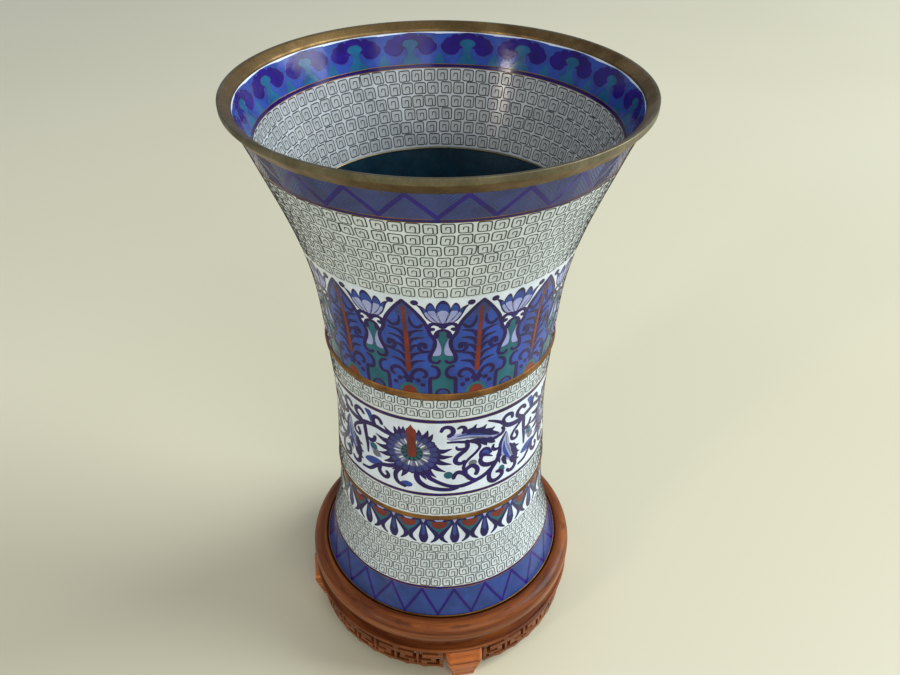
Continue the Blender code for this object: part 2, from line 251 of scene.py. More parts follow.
def metal(name, colour, tarnish, roughness, amount=0.5, metallic=1.0):
    """Brass or bronze with patches of tarnish, rubbed brighter where it is handled."""
    finish = Finish(name, roughness, metallic)
    patches = finish.noise(55.0, detail=6.0, rough=0.65)
    low = 0.62 - amount * 0.4
    body = finish.ramp(patches, [(low - 0.08, linear(*colour)), (low + 0.22, linear(*tarnish))])
    specks = finish.remap(finish.noise(900.0, detail=3.0), 0.35, 0.65, 0.75, 1.0)
    body = finish.mix(0.7, body, specks, blend="MULTIPLY")
    finish.wire(body, "Base Color")
    finish.wire(finish.remap(patches, 0.3, 0.75, roughness * 0.75, roughness * 1.5), "Roughness")
    scratches = finish.noise(60.0, detail=5.0, vector=finish.stretch((1.0, 1.0, 22.0)))
    dents = finish.bump(finish.noise(260.0, detail=2.0), 0.06, strength=0.5)
    finish.wire(finish.bump(scratches, 0.02, 0.35, dents), "Normal")
    return finish.material


def grain_round_stand(finish):
    """Coordinates that are slow round the stand's axis, so that the grain runs round without a seam."""
    reach = 0.0024
    flat_place = finish.stretch((1.0, 1.0, 0.0))
    direction = finish.vector_math("NORMALIZE", flat_place)
    around = finish.vector_math("MULTIPLY", direction, (reach, reach, 0.0))
    radius = finish.vector_math("LENGTH", flat_place, output="Value")
    outward = finish.nodes.new("ShaderNodeCombineXYZ")
    finish.links.new(finish.remap(radius, 0.0, 1.0, 0.0, 0.6), outward.inputs["Z"])
    height = finish.vector_math("ADD", finish.stretch((0.0, 0.0, 1.0)), outward.outputs["Vector"])
    return finish.vector_math("ADD", around, height)


def rosewood(name, light=1.0, turned=True):
    """Polished reddish wood, brightened by the factor light, which well above 1 is painted light. Its grain
    runs round the stand, or along a board.
    """
    finish = Finish(name, 0.3)
    grain_place = grain_round_stand(finish) if turned else finish.stretch((0.05, 1.0, 1.0))
    grain = finish.noise(420.0, detail=6.0, rough=0.62, vector=grain_place, distortion=0.6)
    tones = ((0.30, (68, 28, 9)), (0.48, (116, 60, 24)), (0.70, (158, 92, 40)))
    body = finish.ramp(grain, [(place, tuple(light * value for value in linear(*colour)))
                               for place, colour in tones])
    figure = finish.noise(70.0, detail=4.0, vector=grain_place, distortion=1.2)
    body = finish.mix(finish.remap(figure, 0.42, 0.72, 0.0, 0.5 / light), body, linear(78, 34, 12))
    pores = finish.noise(2600.0, detail=2.0, vector=grain_place)
    dark_pores = finish.remap(pores, 0.58, 0.68)
    body = finish.mix(finish.remap(dark_pores, 0.0, 1.0, 0.0, 0.5), body, linear(40, 16, 9))
    finish.wire(body, "Base Color")
    finish.wire(finish.remap(grain, 0.3, 0.7, 0.46, 0.32), "Roughness")
    finish.set("Specular IOR Level", 0.2)
    finish.set("Coat Weight", 0.06)
    finish.set("Coat Roughness", 0.22)
    tool_marks = finish.bump(finish.noise(190.0, detail=2.0), 0.16, strength=0.6)
    finish.wire(finish.bump(pores, 0.03, 0.35, tool_marks), "Normal")
    return finish.material


ENAMEL = {
    "white": enamel("white_enamel", (226, 238, 248), (208, 220, 232)),
    "celadon": enamel("celadon_enamel", (216, 228, 229), (200, 212, 213), 0.15),
    "cream": enamel("cream_enamel", (207, 217, 218), (192, 202, 204), 0.15),
    # The inner copies of celadon and cream are darker: painted shade for the inside of the mouth.
    "shaded celadon": enamel("painted_shade_celadon_enamel", (190, 198, 200), (172, 180, 182), 0.15),
    "shaded cream": enamel("painted_shade_cream_enamel", (172, 178, 178), (156, 162, 162), 0.15),
    "cobalt": enamel("cobalt_enamel", (44, 76, 162), (32, 56, 130)),
    "leaf blue": enamel("leaf_blue_enamel", (45, 80, 172), (34, 61, 138)),
    "slate": enamel("slate_blue_enamel", (48, 72, 138), (36, 57, 110)),
    "dusk": enamel("dusk_blue_enamel", (58, 68, 128), (44, 52, 104)),
    "navy": enamel("navy_enamel", (28, 18, 92), (18, 10, 66)),
    "violet": enamel("violet_enamel", (36, 14, 122), (26, 8, 88)),
    "purple": enamel("purple_enamel", (34, 14, 96), (22, 8, 68)),
    "lavender": enamel("lavender_enamel", (164, 172, 218), (134, 144, 198)),
    "rust": enamel("rust_enamel", (128, 44, 30), (100, 34, 24)),
    "teal": enamel("teal_enamel", (30, 104, 118), (22, 82, 100)),
    "lake": enamel("lake_blue_enamel", (28, 97, 136), (20, 77, 116)),
    "deep teal": enamel("deep_teal_enamel", (16, 48, 62), (10, 34, 46), 0.2),
    "olive": enamel("olive_enamel", (118, 120, 132), (96, 98, 112)),
}
GILT = metal("gilt_wire", (118, 90, 60), (78, 58, 40), 0.4, 0.5)
BRASS = metal("aged_brass", (168, 122, 70), (116, 82, 48), 0.44, 0.6)
RIM_BRASS = metal("rim_brass", (150, 122, 78), (106, 86, 54), 0.42, 0.6)
# Olive-grey brass: tarnish, and on the rim's upright edge also a painted reflection of darker surroundings.
RIM_PATINA_AND_REFLECTION = metal("rim_patina_and_painted_reflection", (140, 132, 108), (108, 102, 80), 0.46, 0.6)
DARK_WIRE = metal("dark_fret_wire", (44, 45, 40), (28, 29, 26), 0.55, 0.6, 0.0)
COPPER = metal("copper", (196, 120, 90), (120, 66, 46), 0.4)
WOOD = rosewood("rosewood", 1.05)
# The feet's wood is the same rosewood 2.3 times brighter: painted light on the feet.
LIT_FOOT_WOOD = rosewood("painted_lit_foot_wood", 2.3)
BOARD_WOOD = rosewood("board_wood", 1.05, turned=False)


# Meshes

def add_piece(name, places, faces, normals=None, picks=None, materials=()):
    """A smooth mesh object. A zero normal leaves that vertex to Blender."""
    mesh = bpy.data.meshes.new(name)
    mesh.from_pydata(places.tolist(), [], faces)
    for material in materials:
        mesh.materials.append(material)
    if picks is not None:
        mesh.polygons.foreach_set("material_index", picks)
    mesh.polygons.foreach_set("use_smooth", [True] * len(mesh.polygons))
    mesh.update()
    if normals is not None:
        mesh.normals_split_custom_set_from_vertices(normals.tolist())
    piece = bpy.data.objects.new(name, mesh)
    bpy.context.scene.collection.objects.link(piece)
    return piece


def piece_name(node, ending):
    """The name of a piece that finishes a node."""
    return node.replace("enamel_", "") + ending


def ride(piece, body, slot, *nodes):
    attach(piece, body)
    if nodes:
        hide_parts(*nodes)


def smooth(points, steps=5, closed=False):
    """A Catmull-Rom curve through the points."""
    points = np.array(points, float)
    if closed:
        knots = np.vstack([points[-1:], points, points[:2]])
    else:
        knots = np.vstack([2 * points[0] - points[1], points, 2 * points[-1] - points[-2]])
    t = np.linspace(0, 1, steps, endpoint=False)[:, None]
    curve = []
    for p0, p1, p2, p3 in zip(knots, knots[1:], knots[2:], knots[3:]):
        curve.append(0.5 * (2 * p1 + (p2 - p0) * t + (2 * p0 - 5 * p1 + 4 * p2 - p3) * t ** 2
                            + (3 * p1 - p0 - 3 * p2 + p3) * t ** 3))
    if not closed:
        curve.append(points[-1:])
    return np.vstack(curve)


def ray(share):
    """A unit vector at this share of a full turn, anticlockwise from the right."""
    return np.array((math.cos(math.tau * share), math.sin(math.tau * share)))


def circle(count):
    """Points of a circle of radius 1, anticlockwise from the right."""
    turn = np.linspace(0, math.tau, count, endpoint=False)
    return np.stack([np.cos(turn), np.sin(turn)], axis=1)


def sideways(path, closed=False):
    """Unit vectors to the left of a path, longer at corners so that a stroke keeps its width."""
    after = np.roll(path, -1, axis=0) - path
    before = path - np.roll(path, 1, axis=0)
    if not closed:
        after[-1] = before[-1]
        before[0] = after[0]
    after /= np.linalg.norm(after, axis=1)[:, None] + 1e-9
    before /= np.linalg.norm(before, axis=1)[:, None] + 1e-9
    along = after + before
    along /= np.linalg.norm(along, axis=1)[:, None] + 1e-9
    stretch = 1 / np.clip((along * after).sum(axis=1), 0.6, 1)
    return np.stack([-along[:, 1], along[:, 0]], axis=1) * stretch[:, None]


def winds_round(outline, x, y):
    """True for the points that an outline winds round."""
    turns = np.zeros(len(x), int)
    for (x0, y0), (x1, y1) in zip(outline, np.roll(outline, -1, axis=0)):
        left = (x1 - x0) * (y - y0) - (x - x0) * (y1 - y0)
        turns += (y0 <= y) & (y1 > y) & (left > 0)
        turns -= (y0 > y) & (y1 <= y) & (left < 0)
    return turns != 0


def covered(outline, x, y):
    """As winds_round, but only tries the points inside the outline's box."""
    result = np.zeros(len(x), bool)
    low, high = outline.min(axis=0), outline.max(axis=0)
    near = (x >= low[0]) & (x <= high[0]) & (y >= low[1]) & (y <= high[1])
    if near.any():
        result[near] = winds_round(outline, x[near], y[near])
    return result


def triangles(start, width, low, high, outlines, spacing):
    """Cut a rectangle along the outlines. Returns its points and its triangles."""
    columns = max(2, round(width / spacing))
    rows = max(1, round((high - low) / spacing))
    across = np.linspace(start, start + width, columns + 1)
    up = np.linspace(low, high, rows + 1)
    border = [(x, low) for x in across[:-1]] + [(start + width, y) for y in up[:-1]]
    border += [(x, high) for x in across[:0:-1]] + [(start, y) for y in up[:0:-1]]
    points = list(border)
    edges = [(i, (i + 1) % len(border)) for i in range(len(border))]
    points += [(x, y) for x in across[1:-1] for y in up[1:-1]]
    for outline in outlines:
        first = len(points)
        points += [tuple(point) for point in outline]
        edges += [(first + i, first + (i + 1) % len(outline)) for i in range(len(outline))]
    vectors = [Vector(point) for point in points]
    cut = geometry.delaunay_2d_cdt(vectors, edges, [], 0, 1e-4, False)
    flat = np.array([tuple(vector) for vector in cut[0]])
    faces = np.array([face for face in cut[2] if len(face) == 3])
    middle = flat[faces].mean(axis=1)
    kept = (middle[:, 0] > start) & (middle[:, 0] < start + width)
    kept &= (middle[:, 1] > low) & (middle[:, 1] < high)
    faces = faces[kept]
    a, b, c = flat[faces[:, 0]], flat[faces[:, 1]], flat[faces[:, 2]]
    turn = (b[:, 0] - a[:, 0]) * (c[:, 1] - a[:, 1]) - (b[:, 1] - a[:, 1]) * (c[:, 0] - a[:, 0])
    faces[turn < 0] = faces[turn < 0][:, ::-1]
    used, faces = np.unique(faces, return_inverse=True)
    return flat[used], faces.reshape(-1, 3)


def finely(path, closed=False, step=1.8):
    """The path with points added along its long straights, so that it bends with the wall."""
    ends = np.roll(path, -1, axis=0) if closed else path[1:]
    result = []
    for start, end in zip(path, ends):
        count = max(1, math.ceil(np.linalg.norm(end - start) / step))
        result.extend(start + (end - start) * k / count for k in range(count))
    if not closed:
        result.append(path[-1])
    return np.array(result)


class Wires:
    """Raised wires of one zone, gathered flat as left edge, crown and right edge."""

    def __init__(self, scale, inside=False):
        self.scale = scale
        self.inside = inside
        self.points, self.lifts, self.faces, self.count = [], [], [], 0

    def add(self, path, width, closed=False, shifts=(0.0,), proud=PROUD):
        """Lay a wire along a flat path, once for every sideways shift."""
        if len(path) < 2:
            return
        side = sideways(path, closed) * width / 2
        lift = np.full(len(path), proud)
        if not closed:
            lift[[0, -1]] = -SUNK
        section = np.stack([path + side, path, path - side], axis=1).reshape(-1, 2)
        lifts = np.stack([np.full(len(path), -SUNK), lift, np.full(len(path), -SUNK)], axis=1).ravel()
        n = len(path)
        last = n if closed else n - 1
        i = np.arange(last) * 3
        j = (np.arange(last) + 1) % n * 3
        quads = np.vstack([np.stack([i, i + 1, j + 1, j], axis=1),
                           np.stack([i + 1, i + 2, j + 2, j + 1], axis=1)])
        for shift in shifts:
            self.points.append(section + (shift, 0.0))
            self.lifts.append(lifts)
            self.faces.append(quads + self.count)
            self.count += len(section)

    def build(self, name, material):
        points = np.vstack(self.points)
        lifts = np.concatenate(self.lifts)
        faces = np.vstack(self.faces)
        if self.inside:
            faces = faces[:, ::-1]
        places, _ = on_wall(points[:, 0] / self.scale, points[:, 1], lifts, self.inside)
        return add_piece(name, places, faces.tolist(), materials=[material])


class Zone:
    """One decorated zone, drawn flat: degrees become millimetres at the zone's middle height."""

    def __init__(self, node, ground, repeats=1, start=0.0, inside=False):
        self.node, self.inside = node, inside
        self.low, self.high = zone(node)
        self.repeats, self.period = repeats, 360.0 / repeats
        radius = wall_radius((self.low + self.high) / 2) - (LINING_DEPTH if inside else 0)
        self.scale = math.radians(radius)
        self.left, self.width = start * self.scale, self.period * self.scale
        self.ground = ground
        self.weight = 1.0       # all brush strokes are widened by this
        self.shapes = []
        self.lines = []

    def flat(self, points):
        return np.array(points, float) * (self.scale, 1.0)

    def shape(self, colour, outline, wired=True):
        """Add a flat outline, over those before it."""
        self.shapes.append((colour, finely(outline, closed=True), wired))

    def fill(self, colour, points, wired=False, sharp=False):
        outline = self.flat(points)
        self.shape(colour, outline if sharp else smooth(outline, closed=True), wired)

    def pair(self, colour, points, about=0.0, wired=False):
        """A fill that is its own mirror image: the points run down its right side."""
        left = [(2 * about - x, y) for x, y in reversed(points)]
        self.fill(colour, points + left, wired)

    def stroke(self, colour, points, widths, wired=True):
        """A brush stroke along the points. Its widths in millimetres are spread along it."""
        self.flat_stroke(colour, self.flat(points), widths, wired)

    def flat_stroke(self, colour, points, widths, wired=True):
        """A stroke whose points are already in millimetres."""
        path = smooth(points)
        spread = np.linspace(0, 1, len(widths))
        width = np.interp(np.linspace(0, 1, len(path)), spread, widths)[:, None] / 2 * self.weight
        side = sideways(path) * width
        ends = []
        for end, inner, half, first in ((path[-1], path[-2], width[-1], side[-1]),
                                        (path[0], path[1], width[0], -side[0])):
            along = (end - inner) / (np.linalg.norm(end - inner) + 1e-9) * half
            ends.append([end + first * math.cos(t) + along * math.sin(t)
                         for t in np.linspace(0, math.pi, 6)[1:-1]])
        outline = np.vstack([path + side, ends[0], (path - side)[::-1], ends[1]])
        self.shape(colour, outline, wired)

    def both(self, colour, points, widths, about=0.0, wired=True):
        """A stroke and its mirror image."""
        self.stroke(colour, points, widths, wired)
        self.stroke(colour, [(2 * about - x, y) for x, y in points], widths, wired)

    def dot(self, colour, centre, radius, wired=True, tall=1.0):
        self.shape(colour, self.flat(centre) + circle(20) * (1.0, tall) * radius, wired)

    def line(self, points, width):
        """A wire on its own, straight from point to point."""
        self.lines.append((finely(self.flat(points), step=0.6), width))

    def copies(self):
        """Every shape with the copies of it that reach into the repeat from its neighbours."""
        result = []
        for colour, outline, wired in self.shapes:
            for shift in (-self.width, 0.0, self.width):
                moved = outline + (shift, 0.0)
                if moved[:, 0].max() > self.left and moved[:, 0].min() < self.left + self.width:
                    result.append((colour, moved, wired))
        return result

    def build(self, slot):
        """Make the zone's skin, and a second piece with its wires."""
        shapes = self.copies()
        outlines = [outline for colour, outline, wired in shapes]
        points, faces = triangles(self.left, self.width, self.low, self.high, outlines, SPACING)
        colours = [self.ground]
        picks = np.zeros(len(faces), int)
        middle = points[faces].mean(axis=1)
        for colour, outline, wired in shapes:
            if colour not in colours:
                colours.append(colour)
            picks[covered(outline, middle[:, 0], middle[:, 1])] = colours.index(colour)
        shifts = np.arange(self.repeats) * self.width
        all_points = np.vstack([points + (shift, 0.0) for shift in shifts])
        all_faces = np.vstack([faces + i * len(points) for i in range(self.repeats)])
        if self.inside:
            all_faces = all_faces[:, ::-1]
        places, normals = on_wall(all_points[:, 0] / self.scale, all_points[:, 1], 0.0, self.inside)
        skin = add_piece(piece_name(self.node, "_skin"), places, all_faces.tolist(), normals,
                         np.tile(picks, self.repeats), [ENAMEL[colour] for colour in colours])
        ride(skin, "vase", slot, self.node)
        wires = Wires(self.scale, self.inside)
        self.outline_wires(wires, shapes, shifts)
        for path, width in self.lines:
            wires.add(path, width, shifts=shifts)
        if wires.count:
            ride(wires.build(piece_name(self.node, "_wires"), GILT), "vase", "gilt_brass")

    def outline_wires(self, wires, shapes, shifts):
        """Wires along the outlines, except where another shape of that colour or a later one is."""
        right = self.left + self.width
        for i, (colour, outline, wired) in enumerate(shapes):
            if not wired:
                continue
            x, y = outline.T
            hidden = (x < self.left) | (x > right) | (y < self.low) | (y > self.high)
            for j, (other, cover, _) in enumerate(shapes):
                if j > i or (other == colour and j != i):
                    hidden |= covered(cover, x, y)
            if not hidden.any():
                wires.add(outline, OUTLINE_WIRE, True, shifts)
                continue
            # The open runs between hidden points, starting from a hidden one.
            first = int(np.argmax(hidden))
            run = []
            for k in [*np.roll(np.arange(len(outline)), -first), first]:
                if not hidden[k]:
                    run.append(outline[k])
                    continue
                if len(run) > 2:
                    wires.add(np.array(run), OUTLINE_WIRE, False, shifts)
                run = []


def lathe(name, profile, material, wobble=0.0):
    """Turn a closed profile of (radius, height above the soles), which runs down its outer side first."""
    profile = np.array(profile, float)
    turn = np.arange(ROUND) * math.tau / ROUND
    waver = wobble * (np.sin(3 * turn + 1) + 0.6 * np.sin(5 * turn + 2.2) + 0.4 * np.sin(11 * turn))
    radius = profile[None, :, 0] + waver[:, None] * (profile[None, :, 0] > 1)
    x = radius * np.sin(turn)[:, None]
    y = -radius * np.cos(turn)[:, None]
    z = np.repeat(profile[None, :, 1], ROUND, axis=0)
    places = np.stack([x, y, z], axis=2).reshape(-1, 3) * MM
    n = len(profile)
    faces = []
    for j in range(ROUND):
        a, b = j * n, (j + 1) % ROUND * n
        faces += [(a + i, a + (i + 1) % n, b + (i + 1) % n, b + i) for i in range(n)]
    piece = add_piece(name, places, faces, materials=[material])
    mesh = piece.data
    shape = bmesh.new()
    shape.from_mesh(mesh)
    bmesh.ops.remove_doubles(shape, verts=shape.verts, dist=1e-6)
    shape.to_mesh(mesh)
    shape.free()
    mesh.set_sharp_from_angle(angle=math.radians(40))
    return piece


def turned(node, ending, outline, material, body, slot, wobble=0.0):
    """A lathed piece that takes a node's place."""
    piece = lathe(node + ending, outline, material, wobble)
    ride(piece, body, slot, node)
    return piece


def rounded(corners, steps=4):
    """A closed outline of (x, y, rounding) corners, each cut back and rounded by that much."""
    path = []
    for i, (x, y, size) in enumerate(corners):
        corner = np.array((x, y))
        ends = [np.array(corners[i - 1][:2]), np.array(corners[(i + 1) % len(corners)][:2])]
        lengths = [np.linalg.norm(end - corner) for end in ends]
        cut = min(size, 0.45 * lengths[0], 0.45 * lengths[1])
        if cut < 0.01:
            path.append(corner)
            continue
        a, b = [corner + (end - corner) / length * cut for end, length in zip(ends, lengths)]
        for t in np.linspace(0, 1, steps + 1):
            path.append(a * (1 - t) ** 2 + corner * 2 * t * (1 - t) + b * t ** 2)
    return path


# Camera, light and floor

CAMERA_LENS = 32.764        # millimetres, over a sensor 36 mm wide
CAMERA_DISTANCE = 0.37135   # metres from the vase's axis
CAMERA_HEIGHT = 0.4828      # metres above the floor
CAMERA_PITCH = 36.727       # degrees down
CAMERA_YAW = 0.840          # degrees to the right of the axis
CAMERA_ROLL = -0.212        # degrees over


def add_camera():
    """A camera a little in front of the vase and above its mouth, looking down at it."""
    data = bpy.data.cameras.new("camera")
    data.lens = CAMERA_LENS
    data.sensor_width = 36.0
    camera = bpy.data.objects.new("camera", data)
    bpy.context.scene.collection.objects.link(camera)
    pitch, roll = math.radians(CAMERA_PITCH), math.radians(CAMERA_ROLL)
    yaw = math.radians(CAMERA_YAW) + FRONT
    right = Vector((math.cos(yaw), -math.sin(yaw), 0))
    forward = Vector((math.sin(yaw) * math.cos(pitch), math.cos(yaw) * math.cos(pitch), -math.sin(pitch)))
    up = right.cross(forward)
    rolled_right = math.cos(roll) * right - math.sin(roll) * up
    rolled_up = math.sin(roll) * right + math.cos(roll) * up
    turn = Matrix((rolled_right, rolled_up, -forward)).transposed().to_4x4()
    place = Vector((-CAMERA_DISTANCE * math.sin(FRONT), -CAMERA_DISTANCE * math.cos(FRONT),
                    CAMERA_HEIGHT))
    camera.matrix_world = Matrix.Translation(place) @ turn
    bpy.context.scene.camera = camera


def add_light(name, place, size, power, colour, target=(0.0, 0.0, 0.2)):
    """A square soft light, aimed at the target."""
    data = bpy.data.lights.new(name, "AREA")
    data.size = size
    data.energy = power
    data.color = colour
    light = bpy.data.objects.new(name, data)
    light.location = place
    aim = Vector(target) - Vector(place)
    light.rotation_euler = aim.to_track_quat("-Z", "Y").to_euler()
    bpy.context.scene.collection.objects.link(light)


def add_floor():
    """A plain pale table top."""
    finish = Finish("pale_floor", 0.34)
    drift = finish.noise(1.3, detail=2.0)
    finish.wire(finish.ramp(drift, [(0.3, linear(211, 206, 176)), (0.7, linear(217, 212, 184))]),
                "Base Color")
    size = 4.0
    corners = np.array([(-size, -size, 0), (size, -size, 0), (size, size, 0), (-size, size, 0)])
    floor = add_piece("floor", corners, [(0, 1, 2, 3)], materials=[finish.material])


def add_world():
    """Dim bluish daylight from all round."""
    world = bpy.data.worlds.new("studio")
    world.use_nodes = True
    back = world.node_tree.nodes["Background"]
    back.inputs["Color"].default_value = (0.78, 0.83, 0.93, 1.0)
    back.inputs["Strength"].default_value = 0.5
    bpy.context.scene.world = world


add_camera()
add_floor()
add_world()
add_light("window", (3.0, -0.2, 2.3), 2.2, 150.0, (0.90, 0.95, 1.0))
add_light("room", (0.9, -3.4, 2.2), 2.4, 44.0, (1.0, 0.97, 0.92))
add_light("lamp", (-1.55, -1.05, 1.04), 0.2, 6.5, (1.0, 0.86, 0.7), (0.0, 0.0, 0.32))
bpy.context.scene.view_settings.view_transform = "Standard"


# Key frets

def fret_unit(width, height, mirrored):
    """One closed square of wire that turns in on itself, in millimetres from its lower left corner."""
    # Corners as shares of the width and height, and the rounding of each in millimetres.
    x = np.array([0.62, 1.0, 1.0, 0.0, 0.0, 0.70, 0.70, 0.35, 0.35])
    y = np.array([0.0, 0.0, 1.0, 1.0, 0.0, 0.0, 0.66, 0.66, 0.24])
    rounding = (0.0, 1.0, 1.0, 1.0, 1.0, 0.5, 0.5, 0.5, 0.0)
    if mirrored:
        x = 1 - x
    corners = list(zip(x * width, y * height, rounding))
    return np.array(rounded(corners, steps=3))


def fret_row(wires, panes, low, height, count, first):
    """A row of spirals round the vase, each a little different, as wires bent by hand are."""
    pitch = 360.0 * wires.scale / count
    local = wall_radius(low + height / 2) - (LINING_DEPTH if wires.inside else 0)
    squeeze = wires.scale / math.radians(local)
    width = min(height * 1.06 * squeeze, pitch * 0.8)
    for i in range(count):
        wide = width * chance.uniform(0.95, 1.05)
        tall = height * chance.uniform(0.95, 1.03)
        unit = fret_unit(wide, tall, wires.inside)
        unit[:, 0] += unit[:, 1] * chance.normal(0, 0.035)
        unit[:, 1] += unit[:, 0] * chance.normal(0, 0.02)
        corner = np.array((first * wires.scale + i * pitch + chance.normal(0, 0.16),
                           low + chance.normal(0, 0.12)))
        wires.add(unit + corner, FRET_WIRE, proud=FRET_PROUD)
        panes.append((corner, wide, tall))


def fret_panes(name, panes, scale, inside):
    """The warmer enamel inside each spiral: a patch that just covers the ground."""
    columns, rows = 5, 3
    x, y = [grid.ravel() for grid in np.meshgrid(np.linspace(0.01, 0.99, columns),
                                                 np.linspace(0.01, 0.99, rows))]
    corners = [j * columns + i for j in range(rows - 1) for i in range(columns - 1)]
    quads = np.array([(k, k + 1, k + columns + 1, k + columns) for k in corners])
    if inside:
        quads = quads[:, ::-1]
    points = np.vstack([np.stack([corner[0] + x * wide, corner[1] + y * tall], axis=1)
                        for corner, wide, tall in panes])
    faces = np.vstack([quads + len(x) * i for i in range(len(panes))])
    places, normals = on_wall(points[:, 0] / scale, points[:, 1], PANE_LIFT, inside)
    # Inside the mouth the panes take the darker copy of cream, as painted shade.
    piece = add_piece(name, places, faces.tolist(), normals,
                      materials=[ENAMEL["shaded cream" if inside else "cream"]])
    ride(piece, "vase", "celadon_enamel")


def key_fret(node, rows, inside=False):
    """A pale ground and rows of (lowest edge, height, count, first angle)."""
    # Inside the mouth the ground takes the darker copy of celadon, as painted shade.
    fret = Zone(node, "shaded celadon" if inside else "celadon", 8, inside=inside)
    fret.build("celadon_enamel")
    wires = Wires(fret.scale, inside)
    panes = []
    for row in rows:
        fret_row(wires, panes, *row)
    fret_panes(piece_name(node, "_panes"), panes, fret.scale, inside)
    ride(wires.build(piece_name(node, "_wires"), DARK_WIRE), "vase", "gilt_brass")


key_fret("enamel_key_fret_foot", [(21.5 + 6.25 * i, 5.2, 63, 0.7 + 2.9 * (i % 2)) for i in range(5)])
key_fret("enamel_key_fret_waist_lower", [(76.9, 5.7, 62, 0.4), (83.7, 5.6, 62, 3.1)])
key_fret("enamel_key_fret_waist_upper", [(149.0, 5.3, 58, -3.6), (155.9, 5.2, 58, -2.0)])
mouth_counts = (64, 66, 70, 73, 74, 75, 76)
mouth_starts = (-2.0, -0.2, 0.0, -0.9, 1.5, 0.2, 0.4)
key_fret("enamel_key_fret_mouth", [(229.6 + 6.65 * i, 5.35, count, first) for i, (count, first)
                                   in enumerate(zip(mouth_counts, mouth_starts))])
key_fret("inner_key_fret", [(238.4 + 6.6 * i, 5.6, 66 + round(1.6 * i), 1.3 * i) for i in range(6)],
         inside=True)


# Zigzags and borders

def zigzag(node, repeats, start, width, line_gap, line_depth):
    """A zigzag over a blue ground, with fine wires that follow it inwards."""
    band = Zone(node, "slate", repeats, start)
    half = band.period / 2
    margin = 0.8
    shortest = 0.3
    low, high = band.low + margin, band.high - margin
    middle = start + half
    path = band.flat([(middle + k * half, low if k % 2 else high) for k in range(-2, 3)])
    side = sideways(path) * width / 2
    band.shape("violet", np.vstack([path + side, (path - side)[::-1]]))
    slope = (high - low) / (half * band.scale)
    inset = line_gap * math.hypot(1, slope)
    for k in range(1, line_depth + 1):
        down = high - inset * k - width * 0.4
        reach = (down - band.low) / slope / band.scale
        if reach > shortest:
            band.line([(middle - reach, band.low), (middle, down), (middle + reach, band.low)], CHEVRON_WIRE)
        rising = low + inset * k + width * 0.4
        reach = (band.high - rising) / slope / band.scale
        if reach > shortest:
            across = min(reach, band.period)
            end = start + band.period
            band.line([(start, rising), (start + across, band.high)], CHEVRON_WIRE)
            band.line([(end - across, band.high), (end, rising)], CHEVRON_WIRE)
    band.build("blue_enamel")


zigzag("enamel_zigzag_mouth", 24, -0.6, 2.1, 1.3, 7)
zigzag("enamel_zigzag_foot", 23, -1.8, 1.8, 1.6, 0)


def border(node, inside=False):
    """A purple line between two gilt wires, which waver a little."""
    band = Zone(node, "purple", 4, inside=inside)
    band.build("purple_enamel")
    wires = Wires(band.scale, inside)
    turn = np.linspace(0, math.tau, 240, endpoint=False)
    for y, phase in ((band.low + 0.1, 0.4), (band.high - 0.1, 1.9)):
        waver = 0.07 * np.sin(7 * turn + phase) + 0.05 * np.sin(17 * turn + 2 * phase)
        path = np.stack([np.degrees(turn) * band.scale, y + waver], axis=1)
        wires.add(path, BORDER_WIRE, proud=BORDER_PROUD)
    ride(wires.build(piece_name(node, "_wires"), BRASS), "vase", "gilt_brass")


border("enamel_border_foot")
border("enamel_border_lotus_lower")
border("enamel_border_lotus_upper")
border("enamel_border_mouth")
border("inner_border", inside=True)


# Leaf band: upright leaves, with a lotus bud on a stem between each two

LEAVES = Zone("enamel_leaf_band", "white", 12, 1.0)
LEAF = 16.0                 # the axis of the first leaf
BUD = 1.0                   # the axis of the first bud
LEAVES.weight = 1.2


def about(centre, points):
    return [(centre + x, y) for x, y in points]


